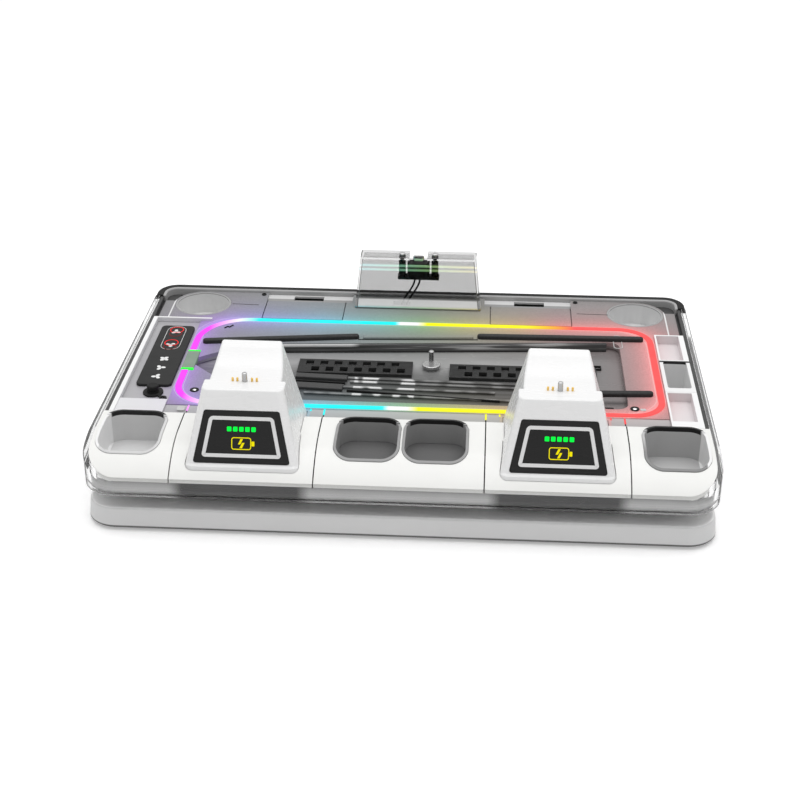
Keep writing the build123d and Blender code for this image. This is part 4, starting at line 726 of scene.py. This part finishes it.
def coupler_clear():
    """Milky coupler of the loop, green at both ends where its lamps shine out."""
    material, shader = start_material("coupler", shine=0.2, Roughness=0.25, Emission_Strength=0.9)
    skin = place_group(shader, SKIN, Mottle_Scale=80.0)
    half = (coupler_high.y - coupler_low.y) / 2
    off = math_node("SUBTRACT", object_axes(shader)["Y"], COUPLER_Y * MM)
    end = above(absolute(off), half - COUPLER_END, soft=0.8)
    body = mottled(skin, (0.16, 0.2, 0.17), (0.24, 0.28, 0.25))
    light_up(shader, mix(end, (0.01, 0.05, 0.01), (0.0, 1.0, 0.02)))
    return painted(material, mix(end, body, (0.0, 0.3, 0.02)))


def floor_material():
    """Pale floor with a little light of its own where it is seen."""
    material, shader = start_material("pale floor", Roughness=0.9, shine=0.1)
    skin = place_group(shader, SKIN, Mottle_Scale=3.0)
    shader.inputs["Emission Color"].default_value = (1, 1, 1, 1)
    join(times(seen_ray(shader), 0.3), shader.inputs["Emission Strength"])
    return painted(material, mottled(skin, 0.89, 0.91))


RUBBER = {"grain": 1200.0, "depth": 0.3}
GREEN_LACQUER = ((0.01, 0.1, 0.045), (0.02, 0.15, 0.07))
GOLD_TONES = ((0.72, 0.45, 0.1), (0.85, 0.58, 0.18))
FINISH = {
    "white": moulded("white shell", 0.85, 0.88, (0.24, 0.36), depth=0.02),
    "panel": white_panel(),
    "tray": white_tray(),
    "slab": slab_grey(),
    "chassis": chassis_grey(),
    "black": moulded("matt black", 0.01, 0.018, (0.4, 0.6), shine=0.15),
    "rim": black_rim(),
    "screen": moulded("screen glass", 0.024, 0.028, (0.25, 0.35), shine=0.08, depth=0.02),
    "touch": moulded("touch panel", 0.03, 0.035, (0.4, 0.5), shine=0.05, depth=0.05),
    "rubber": moulded("black rubber", 0.008, 0.016, (0.6, 0.75), shine=0.15, **RUBBER),
    "bar": moulded("rest bar rubber", 0.02, 0.045, (0.5, 0.65), shine=0.1, mottle=600.0, **RUBBER),
    "steel": moulded("turned steel", 0.4, 0.52, (0.22, 0.4), metal=1.0, depth=0.05, grain=2500.0),
    "bright": moulded("bright plate", 0.7, 0.8, (0.08, 0.2), metal=1.0, depth=0.02),
    "gold": moulded("gold plate", *GOLD_TONES, (0.2, 0.32), metal=1.0, depth=0.03),
    "board": moulded("circuit board", *GREEN_LACQUER, (0.35, 0.5), mottle=160.0, depth=0.2),
    "cup": frosted_cup(),
    "side pocket": side_pocket_grey(),
    "pocket": smoke_pocket(),
    "deck": frosted_deck(),
    "lamp": lamp_strip(),
    "clear": clear_acrylic("clear case", 0.88, 0.35, 1.15)[0],
    "post": clear_post(),
    "bay": smoky_bay(),
    "lip": smoky_lip(),
    "coupler": coupler_clear(),
    "clip": moulded("pale clip", 0.5, 0.58, (0.35, 0.5)),
    "line": moulded("dark line", 0.012, 0.02, (0.6, 0.75), shine=0.1),
    "edge": moulded("acrylic edge", 0.14, 0.2, (0.3, 0.45), shine=0.2),
    "duct": moulded("duct cover", 0.04, 0.055, (0.25, 0.4), shine=0.15),
}


def pairs(*names):
    return [name + side for name in names for side in ("_left", "_right")]


# Which finish each piece of the frame wears
WEARS = {
    "slab": ["base_slab", "base_cover", "pedestal"],
    "chassis": ["chassis_tray", "inner_frame"],
    "rim": ["rear_rim"],
    "clear": ["clear_case"],
    "post": ["post_shell"],
    "panel": pairs("end_panel", "dock_panel") + ["centre_panel"],
    "white": pairs("dock_shell"),
    "tray": ["control_tray", "card_tray_rear", "card_tray_front"],
    "pocket": pairs("grip_pocket_end", "grip_pocket_centre"),
    "screen": pairs("screen_lens"),
    "steel": pairs("guide_pin") + ["console_screw", "post_screws", "housing_screws"],
    "gold": pairs("contact_pins"),
    "black": pairs("dock_housing", "pin_carrier", "fan_frame", "fan_rotor"),
    "board": pairs("charge_board") + ["main_board"],
    "deck": pairs("rear_lid") + ["console_deck"],
    "lamp": ["light_guide"],
    "coupler": ["light_coupler"],
    "bay": ["bay_liner"],
    "bar": ["rest_bars", "bay_grilles"],
    "cup": pairs("rear_cup"),
    "touch": ["touch_panel"],
    "rubber": ["port_plug", "post_leads", "rubber_feet", "post_connector"],
    "side pocket": ["side_pocket"],
    "bright": ["connector_tongue", "power_inlet"],
}
for finish, names in WEARS.items():
    for name in names:
        cad[name].data.materials.clear()
        cad[name].data.materials.append(FINISH[finish])


# Modelling helpers

EDGE_STEPS = 3
CORNER_STEPS = 5
RING_SIDES = 40
TOLERANCE = 0.001


def enter(mode):
    bpy.ops.object.mode_set(mode=mode)


def select_mesh():
    bpy.ops.mesh.select_all(action="SELECT")


def begin():
    """Leaves edit mode and selects nothing."""
    if bpy.context.object and bpy.context.object.mode != "OBJECT":
        enter("OBJECT")
    bpy.ops.object.select_all(action="DESELECT")


def settle(name, material, slot, turn=None):
    """Puts a finished piece in its place, with its place in its mesh, and rides it on the station."""
    piece = bpy.context.object
    if piece.mode != "OBJECT":
        enter("OBJECT")
    if turn is not None:
        piece.matrix_world = turn @ piece.matrix_world
    bpy.ops.object.transform_apply(location=True, rotation=True, scale=True)
    piece.name = name
    piece.data.name = name
    piece.data.materials.clear()
    piece.data.materials.append(material)
    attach(piece, STATION)


def face_outwards():
    select_mesh()
    bpy.ops.mesh.normals_make_consistent(inside=False)


def thicken(depth):
    """Extrudes all that is there upwards, and closes it underneath."""
    select_mesh()
    bpy.ops.mesh.extrude_region_move(TRANSFORM_OT_translate={"value": (0, 0, depth * MM)})
    face_outwards()


def pick(kind, test):
    """In edit mode, selects the vertices, edges or faces that pass a test."""
    bpy.ops.mesh.select_mode(type=kind)
    bpy.ops.mesh.select_all(action="DESELECT")
    enter("OBJECT")
    mesh = bpy.context.object.data
    for item in {"VERT": mesh.vertices, "EDGE": mesh.edges, "FACE": mesh.polygons}[kind]:
        item.select = test(item)
    enter("EDIT")


def round_top(height, radius):
    """Rounds the edges that lie at the top of a piece of the given height."""
    mesh = bpy.context.object.data
    level = height - TOLERANCE
    pick("EDGE", lambda edge: all(mesh.vertices[index].co.z / MM > level for index in edge.vertices))
    bpy.ops.mesh.bevel(offset=radius * MM, segments=EDGE_STEPS, affect="EDGES")


def trapezoid(low_half, high_half, low, high, corner):
    """A flat rounded trapezoid in the drawing plane, left in edit mode."""
    begin()
    bpy.ops.mesh.primitive_plane_add(size=1.0, location=(0, 0, 0))
    enter("EDIT")
    select_mesh()
    middle = (high + low) / 2 * MM
    bpy.ops.transform.resize(value=(2 * low_half * MM, (high - low) * MM, 1))
    bpy.ops.transform.translate(value=(0, middle, 0))
    pick("VERT", lambda vertex: vertex.co.y > middle)
    bpy.ops.transform.resize(value=(high_half / low_half, 1, 1), center_override=(0, high * MM, 0))
    if corner:
        select_mesh()
        bpy.ops.mesh.bevel(offset=corner * MM, segments=CORNER_STEPS, affect="VERTICES")


def strip(length, width, corner=0.0):
    """A flat strip along X about the origin, left in edit mode."""
    trapezoid(length / 2, length / 2, -width / 2, width / 2, corner)


def flat_disc(radius, sides=RING_SIDES):
    """A flat disc in the drawing plane, left in edit mode."""
    begin()
    shape = {"vertices": sides, "radius": radius * MM, "fill_type": "NGON", "location": (0, 0, 0)}
    bpy.ops.mesh.primitive_circle_add(**shape)
    enter("EDIT")


def cut_out_middle(border):
    """Insets the one face there and takes its middle away, which leaves a ring."""
    bpy.ops.mesh.select_mode(type="FACE")
    select_mesh()
    bpy.ops.mesh.inset(thickness=border * MM)
    bpy.ops.mesh.delete(type="FACE")


def keep():
    """Ends editing of the piece just made and hands it back."""
    enter("OBJECT")
    return bpy.context.object


def join_parts(parts):
    """Joins several objects into the first one and leaves it active."""
    begin()
    for part in parts:
        part.select_set(True)
    bpy.context.view_layer.objects.active = parts[0]
    bpy.ops.object.join()


def face_turn(side):
    """From the drawing plane onto a dock's sloping face, with Y up from the lens's lower edge."""
    lean = Matrix.Rotation(radians(FACE_ANGLE), 4, "X")
    low_edge = lens_low.z + LENS_THICKNESS * cos(radians(FACE_ANGLE))
    return Matrix.Translation((side * DOCK_X * MM, lens_low.y * MM, low_edge * MM)) @ lean


def on_plan(x, y, z, turn=0.0):
    """From the drawing plane to a place in millimetres, turned about Z."""
    return Matrix.Translation((x * MM, y * MM, z * MM)) @ Matrix.Rotation(turn, 4, "Z")


def between_points(start, end, z):
    """From the drawing plane to the middle between two points on plan, with X along them."""
    turn = atan2(end[1] - start[1], end[0] - start[0])
    return on_plan((start[0] + end[0]) / 2, (start[1] + end[1]) / 2, z, turn)


def distance(start, end):
    return hypot(end[0] - start[0], end[1] - start[1])


def bar(name, start, end, width, low, high, edge, finish, slot):
    """A straight bar between two points on plan, with its top edges rounded where asked."""
    strip(distance(start, end), width)
    thicken(high - low)
    if edge:
        round_top(high - low, edge)
    settle(name, FINISH[finish], slot, between_points(start, end, low))


def hollow(name, shape, border, height, material, slot, place):
    """A flat frame with a trapezoid's outline."""
    trapezoid(*shape)
    cut_out_middle(border)
    thicken(height)
    settle(name, material, slot, place)


def ring(name, radius, border, height, material, slot, place, sides=RING_SIDES):
    """A flat ring."""
    flat_disc(radius, sides)
    cut_out_middle(border)
    thicken(height)
    settle(name, material, slot, place)


MARK_WHITE = lit_plastic("printed white", (0.8, 0.8, 0.8), 0.15)
MARK_RED = lit_plastic("ring red", (0.9, 0.02, 0.02), 0.5)
MARK_DIM_RED = lit_plastic("ring red dimmed", (0.2, 0.008, 0.008), 0.1)
MARK_GREEN = lit_plastic("screen green", (0.0, 0.8, 0.05), 0.7)
MARK_YELLOW = lit_plastic("screen yellow", (0.75, 0.65, 0.0), 0.55)
DARK = (FINISH["line"], "black_matt")
FRAME_GREY = moulded("screen frame grey", 0.74, 0.8, (0.35, 0.5), depth=0.05)
PRINT = 0.12


# Screens on the docks. A shape is given by its half widths at foot and top, low and high edge, and corner,
# and a hollow frame by its shape, border and height

SCREEN_FRAME = ((25.1, 20.0, 3.8, 29.6, 2.4), 2.3, 0.15)
LEVEL_BAR = (1.4, 1.4, 20.2, 23.2, 0.5)
LEVEL_COUNT = 5
LEVEL_PITCH = 3.8
BATTERY = (6.2, 6.2, 8.8, 16.6, 1.6)
BATTERY_BORDER = 0.55
BATTERY_TIP = (0.9, 0.9, 11.2, 14.2, 0.3)
BATTERY_TIP_X = 7.3
BOLT_HALF = 0.75
BOLT_SLANT = 0.47
BOLT_STROKES = ((-0.5, 12.2, 15.6), (0.5, 9.8, 13.2))


def screen_pieces(side, name):
    """Frame, level bars and battery sign on one screen."""
    place = face_turn(side)
    hollow("screen_frame_" + name, *SCREEN_FRAME, FRAME_GREY, "white_plastic", place)
    bars = []
    for step in range(LEVEL_COUNT):
        trapezoid(*LEVEL_BAR)
        thicken(PRINT)
        level = keep()
        level.location.x = (step - (LEVEL_COUNT - 1) / 2) * LEVEL_PITCH * MM
        bars.append(level)
    join_parts(bars)
    settle("screen_level_" + name, MARK_GREEN, "screen_black", place)
    trapezoid(*BATTERY)
    cut_out_middle(BATTERY_BORDER)
    thicken(PRINT)
    sign = [keep()]
    trapezoid(*BATTERY_TIP)
    thicken(PRINT)
    sign.append(keep())
    sign[-1].location.x = BATTERY_TIP_X * MM
    for shift, low, high in BOLT_STROKES:
        trapezoid(BOLT_HALF, BOLT_HALF, low, high, 0.0)
        thicken(PRINT)
        bolt = keep()
        for vertex in bolt.data.vertices:
            vertex.co.x += (vertex.co.y - (low + high) / 2 * MM) * BOLT_SLANT
        bolt.location.x = shift * MM
        sign.append(bolt)
    join_parts(sign)
    settle("screen_battery_" + name, MARK_YELLOW, "screen_black", place)


for side, name in SIDES:
    screen_pieces(side, name)


# Marks on the touch panel

RING_RADIUS = 5.0
GLOW_RADIUS = 4.6
RING_LINE = 0.5
LOBE_RADIUS = 1.7
LOBE_SIDES = 20
LOBE_FLATNESS = 0.75
LOBE_SHIFT = (1.9, 0.35)
DOT_RADIUS = 0.7
DOT_SIDES = 16
MARK_RELIEF = 0.1
# Rings: name, place on Y of the ring, its mark and its glow, and the mark's turn
RINGS = (("rear", 56.3, 53.2, 49.6, 90), ("front", 35.0, 31.6, 28.3, 30))
RING_LOBES = 3
# Fan signs: name, place on Y, number of lobes and turn
FANS = (("high", 9.2, 4, 45), ("middle", -4.5, 3, 0), ("low", -17.9, 3, 60))
TOUCH_OUTLINE = ((6.8, 6.8, 24.2, 62.0, 6.2), 0.3, 0.08)


def fan_mark(name, y, lobes, turn):
    """A small fan: round lobes about a middle dot."""
    parts = []
    for step in range(lobes):
        flat_disc(LOBE_RADIUS, LOBE_SIDES)
        select_mesh()
        bpy.ops.transform.resize(value=(1.0, LOBE_FLATNESS, 1.0))
        bpy.ops.transform.translate(value=(LOBE_SHIFT[0] * MM, LOBE_SHIFT[1] * MM, 0))
        thicken(MARK_RELIEF)
        lobe = keep()
        lobe.rotation_euler.z = radians(turn) + step * 2 * pi / lobes
        parts.append(lobe)
    flat_disc(DOT_RADIUS, DOT_SIDES)
    thicken(MARK_RELIEF)
    parts.append(keep())
    join_parts(parts)
    settle(name, MARK_WHITE, "black_gloss", on_plan(PLATE_X, y, PLATE_TOP))


for name, ring_y, mark_y, glow_y, turn in RINGS:
    circles = (("", ring_y, RING_RADIUS, MARK_RED), ("_glow", glow_y, GLOW_RADIUS, MARK_DIM_RED))
    for ending, y, radius, material in circles:
        place = on_plan(PLATE_X, y, PLATE_TOP)
        ring("touch_ring_" + name + ending, radius, RING_LINE, PRINT, material, "black_gloss", place)
    fan_mark("touch_mark_" + name, mark_y, RING_LOBES, turn)
for name, y, lobes, turn in FANS:
    fan_mark("touch_fan_" + name, y, lobes, turn)
place = on_plan(PLATE_X, 0, PLATE_TOP)
hollow("touch_outline", *TOUCH_OUTLINE, MARK_WHITE, "black_gloss", place)


# Small things on the deck, with their places on plan. A ring is given by its radius, border and height

WASHERS = (("left", -143.4, -35.3), ("right", 150.8, -43.6))
WASHER = (3.0, 1.5, 0.5)
SCREW_RADIUS = 1.35
SCREW_SIDES = 6
SCREW_BORDER = 0.4
SCREW_STEP = 0.2
SCREW_HEIGHT = 0.35
# Pale blocks: name, place, width, length and height
PALE_BLOCKS = (
    ("washer_pad_right", 156.2, -44.6, DECK_TOP, 3.6, 2.6, 0.4),
    ("flange_clip_left", -147.4, -62.1, FLANGE_TOP, 5.2, 6.0, 1.2),
)
BLOCK_ROUNDING = 0.4
HOOK_POINTS = ((-138.8, 62.7), (-137.2, 65.0), (-135.6, 64.2), (-133.6, 67.4))
HOOK_WIDTH = 0.8
HOOK_HEIGHT = 0.6
HOOK_ROUNDING = 0.3
LID_SLITS = (("left", (-140.0, 105.6), (-120.0, 105.0)), ("right", (119.0, 104.2), (142.0, 103.6)))
SLIT_WIDTH = 0.6
SLIT_RELIEF = 0.08
BOSS_PLACE = (118.5, 123.6)
BOSS = (1.7, 0.7, 0.8)
BOSS_SIDES = 24


def deck_washer(name, x, y):
    """A dark washer with a pale screw in it."""
    place = on_plan(x, y, DECK_TOP)
    ring(name, *WASHER, *DARK, place)
    flat_disc(SCREW_RADIUS, SCREW_SIDES)
    bpy.ops.mesh.select_mode(type="FACE")
    select_mesh()
    bpy.ops.mesh.inset(thickness=SCREW_BORDER * MM, depth=SCREW_STEP * MM)
    thicken(SCREW_HEIGHT)
    settle(name + "_screw", FINISH["bright"], "bright_metal", place)


def pale_block(name, x, y, z, width, length, height):
    """A small pale block with rounded corners."""
    strip(width, length, min(width, length) / 2 * BLOCK_ROUNDING)
    thicken(height)
    settle(name, FINISH["clip"], "white_plastic", on_plan(x, y, z))


def hook(name, points):
    """A thin black clip that bends through a row of points."""
    parts = []
    for start, end in zip(points, points[1:]):
        strip(distance(start, end) + HOOK_WIDTH, HOOK_WIDTH, HOOK_WIDTH * HOOK_ROUNDING)
        thicken(HOOK_HEIGHT)
        part = keep()
        part.matrix_world = between_points(start, end, DECK_TOP)
        parts.append(part)
    join_parts(parts)
    settle(name, *DARK)


for name, x, y in WASHERS:
    deck_washer("deck_washer_" + name, x, y)
for block in PALE_BLOCKS:
    pale_block(*block)
hook("deck_hook", HOOK_POINTS)
for name, start, end in LID_SLITS:
    level = (DECK_TOP, DECK_TOP + SLIT_RELIEF)
    bar("lid_slit_" + name, start, end, SLIT_WIDTH, *level, 0.0, "line", "black_matt")
for side, name in SIDES:
    place = on_plan(side * BOSS_PLACE[0], BOSS_PLACE[1], DECK_TOP)
    ring("deck_boss_" + name, *BOSS, *DARK, place, BOSS_SIDES)


# Seams between the front modules

SEAM_GLOW = (7.5, 1.1)
SHORT_GLOW = (2.6, 1.0)
GLOW_RELIEF = 0.25
SEAM_DEPTH = 1.2
SEAM_SUNK = 0.25
NOSE_STEPS = 14


def seam_light(name, x, length, width):
    """A sliver of the loop's light in the seam between two modules."""
    trapezoid(width / 2, width / 2, FLANGE_REAR - length, FLANGE_REAR, 0.0)
    thicken(GLOW_RELIEF)
    settle(name, FINISH["lamp"], "light_strip", on_plan(x, 0, FLANGE_TOP))


def seam_line(name, x):
    """Dark filling of a seam: a strip that runs forward over the flat top and rolls down over the nose."""
    trapezoid(SEAM / 2, SEAM / 2, 0.0, SEAM_DEPTH, 0.0)
    enter("OBJECT")
    foot = (RIM_TOP - SEAM_SUNK - SEAM_DEPTH) * MM
    for vertex in bpy.context.object.data.vertices:
        vertex.co = Vector((vertex.co.x, PANEL_REAR * MM, foot + vertex.co.y))
    enter("EDIT")
    select_mesh()
    run = NOSE_START - PANEL_REAR
    bpy.ops.mesh.extrude_region_move(TRANSFORM_OT_translate={"value": (0, run * MM, 0)})
    centre = (0, NOSE_START * MM, (RIM_TOP - NOSE_RADIUS) * MM)
    bpy.ops.mesh.spin(steps=NOSE_STEPS, angle=radians(NOSE_SWEEP), center=centre, axis=(1, 0, 0))
    face_outwards()
    settle(name, *DARK, on_plan(x, 0, 0))


for side, name in SIDES:
    for at, seam, toward in (("inner", INNER_SEAM, DOCK_MARGIN), ("outer", OUTER_SEAM, -DOCK_MARGIN)):
        seam_light("seam_light_" + at + "_" + name, side * seam, *SEAM_GLOW)
        seam_light("seam_light_short_" + at + "_" + name, side * (seam + toward), *SHORT_GLOW)
        seam_line("seam_line_" + at + "_" + name, side * seam)


# Pale glowing band close behind the clear front wall: painted light that stands in for light coming in
# through it

GLOW_BAND_INSET = 3.53
GLOW_BAND_THICKNESS = 0.12
GLOW_BAND_HEIGHT = 8.0
GLOW_BAND_LIFT = 0.4
GLOW_BAND_RETURN = 1.0


def front_glow_band():
    """A thin glowing upright band close behind the clear wall, cut off behind the front corners; its glow
    is painted light.
    """
    half = case_high.x - GLOW_BAND_INSET
    ends = (case_low.y + GLOW_BAND_INSET, case_high.y - GLOW_BAND_INSET)
    trapezoid(half, half, *ends, FRONT_CORNER - GLOW_BAND_INSET)
    cut_out_middle(GLOW_BAND_THICKNESS)
    thicken(GLOW_BAND_HEIGHT)
    last = case_low.y + FRONT_CORNER + GLOW_BAND_RETURN
    pick("VERT", lambda vertex: vertex.co.y / MM > last)
    bpy.ops.mesh.delete(type="VERT")
    face_outwards()
    finish = glow_band_grey(case_low.z, GLOW_BAND_HEIGHT)
    settle("front_glow_band", finish, "white_plastic", on_plan(0, 0, case_low.z + GLOW_BAND_LIFT))


front_glow_band()


# Grey edge lines of the clear post and side walls

EDGE_LINE = 0.5
LINE_RELIEF = 0.06
OUTLINE_INSET = 1.6
OUTLINE_REACH = (0.5, 38.4)
OUTLINE_RELIEF = 0.15
WALL_LINE_GAP = 1.0


def post_outline():
    """A thin line along the foot and both sides of the post's leaning front."""
    rise = post_high.z - DECK_TOP
    taper = (post_high.x - POST_TOP_HALF) / hypot(rise, POST_LEAN)
    halves = [post_high.x - taper * up - OUTLINE_INSET for up in OUTLINE_REACH]
    trapezoid(*halves, *OUTLINE_REACH, 0.0)
    cut_out_middle(EDGE_LINE)
    pick("FACE", lambda face: face.center.y / MM > OUTLINE_REACH[1] - 2 * EDGE_LINE)
    bpy.ops.mesh.delete(type="FACE")
    thicken(OUTLINE_RELIEF)
    lean = Matrix.Rotation(atan2(rise, POST_LEAN), 4, "X")
    settle("post_outline", FINISH["edge"], "clear_plastic", on_plan(0, post_low.y, DECK_TOP) @ lean)


def edge_line(name, start, end, level):
    """A thin line on an upper edge."""
    bar(name, start, end, EDGE_LINE, level, level + LINE_RELIEF, 0.0, "edge", "clear_plastic")


post_outline()
crest = post_low.y + POST_LEAN + POST_EDGE
for side, name in SIDES:
    tip = side * (POST_TOP_HALF - POST_EDGE)
    edge_line("post_line_" + name, (side * NOTCH_HALF, crest), (tip, crest), post_high.z)
    for at, inset in (("outer", EDGE_LINE), ("inner", CASE_WALL - EDGE_LINE)):
        x = side * (case_high.x - inset)
        rear = rim_low.y - WALL_LINE_GAP
        edge_line("wall_line_" + at + "_" + name, (x, NOSE_START), (x, rear), RIM_TOP)


# Console bay

LIP_THICKNESS = 1.6
LIP_END_GAP = 9.0
LIP_RISE = 0.5
LIP_EDGE = 0.7
shoulder = (BAY_LEFT + BAY_SHOULDER, BAY_REAR - BAY_SLANT)
slope = BAY_SLANT / (BAY_RIGHT - shoulder[0])


def along_rear(x, gap):
    """A point on plan beside the bay's slanted rear edge."""
    return (x, shoulder[1] + slope * (x - shoulder[0]) - gap)


lip_ends = [along_rear(x, LIP_THICKNESS) for x in (shoulder[0] + LIP_END_GAP, BAY_RIGHT - LIP_END_GAP)]
bar("bay_lip", *lip_ends, LIP_THICKNESS, BAY_FLOOR, DECK_TOP + LIP_RISE, LIP_EDGE, "lip", "smoke_plastic")

# Rails and ducts: name, start and end on plan, width, height and rounded edge
RAIL = ("rail_middle", (-36.6, 52.9), (42.6, 58.0), 4.2, 1.6, 0.7)
# A dark strip along the front foot of the middle rail: painted shade for its contact shadow and shaded
# front side.
RAIL_SHADOW_LINE = ("rail_shadow_line", (-40.0, 49.6), (46.0, 54.6), 1.0, 0.3, 0.0)
DUCT_COVERS = (
    ("duct_cover_rear", (-79.0, -0.4), (-43.0, -2.4), 6.4, 2.4, 0.6),
    ("duct_cover_front", (-79.0, -14.0), (-45.0, -16.0), 8.0, 2.0, 0.6),
)
NOSE_LINE_GAP = 1.2
NOSE_LINE_REACH = (40.0, 10.0)
NOSE_LINE = [(BAY_RIGHT - reach, BAY_FRONT + NOSE_LINE_GAP) for reach in NOSE_LINE_REACH]
DUCT_LINES = (
    ("duct_line_rear", (-92.0, -6.2), (-44.0, -9.0), 1.2, 1.6, 0.0),
    ("duct_line_front", (-42.0, -19.6), (62.0, -29.0), 1.0, 1.5, 0.0),
    ("bay_nose_line", *NOSE_LINE, 2.0, DECK_TOP - BAY_FLOOR, 0.0),
)
BAY_BARS = (
    ([RAIL], DECK_TOP, "deck", "frosted_plastic"),
    ([RAIL_SHADOW_LINE], DECK_TOP, "line", "black_matt"),
    (DUCT_COVERS, BAY_FLOOR, "duct", "smoke_plastic"),
    (DUCT_LINES, BAY_FLOOR, "line", "black_matt"),
)
for bars, level, finish, slot in BAY_BARS:
    for name, start, end, width, height, edge in bars:
        bar(name, start, end, width, level, level + height, edge, finish, slot)

SOCKET = ((2.6, 2.6, -2.6, 2.6, 0.5), 0.7, 1.4)
SOCKET_PLACE = on_plan(130.3, 25.4, BAY_FLOOR)
COLLAR = ((3.2, 3.2, -10.5, 10.5, 2.4), 0.5, 0.4)
COLLAR_PLACE = on_plan(146.0, 57.0, DECK_TOP)
hollow("bay_socket", *SOCKET, *DARK, SOCKET_PLACE)
hollow("bar_collar", *COLLAR, FINISH["clip"], "clear_plastic", COLLAR_PLACE)


# Floor, light and camera, in metres and degrees

FLOOR_SIZE = 12.0
SKY_STRENGTH = 0.6
SOFTBOX_PLACE = (0.1, 0.1, 1.6)
SOFTBOX_SIZE = (1.8, 1.4)
SOFTBOX_POWER = 16.0
CAMERA_PLACE = (0.0490, -0.9253, 0.5240)
CAMERA_PAN = 3.45
CAMERA_TILT = 61.937
CAMERA_ROLL = 0.11
CAMERA_LENS = 67.886
CAMERA_SENSOR = 36.0

begin()
bpy.ops.mesh.primitive_plane_add(size=FLOOR_SIZE, location=(0, 0, 0))
floor = bpy.context.object
floor.name = "floor"
floor.data.materials.append(floor_material())

world = bpy.data.worlds.new("studio")
bpy.context.scene.world = world
world.use_nodes = True
background = world.node_tree.nodes["Background"]
background.inputs["Color"].default_value = (1, 1, 1, 1)
join(remap(seen_ray(background), 0.0, 1.0, SKY_STRENGTH, 1.0), background.inputs["Strength"])

begin()
bpy.ops.object.light_add(type="AREA", location=SOFTBOX_PLACE)
lamp = bpy.context.object
lamp.name = "softbox"
lamp.data.shape = "RECTANGLE"
lamp.data.size, lamp.data.size_y = SOFTBOX_SIZE
lamp.data.energy = SOFTBOX_POWER

begin()
bpy.ops.object.camera_add()
camera = bpy.context.object
camera.name = "camera"
camera.data.sensor_width = CAMERA_SENSOR
camera.data.lens = CAMERA_LENS
look = Matrix.Translation(CAMERA_PLACE)
for angle, axis in ((CAMERA_PAN, "Z"), (CAMERA_TILT, "X"), (CAMERA_ROLL, "Z")):
    look = look @ Matrix.Rotation(radians(angle), 4, axis)
camera.matrix_world = look
bpy.context.scene.camera = camera

bpy.context.scene.view_settings.view_transform = "Standard"
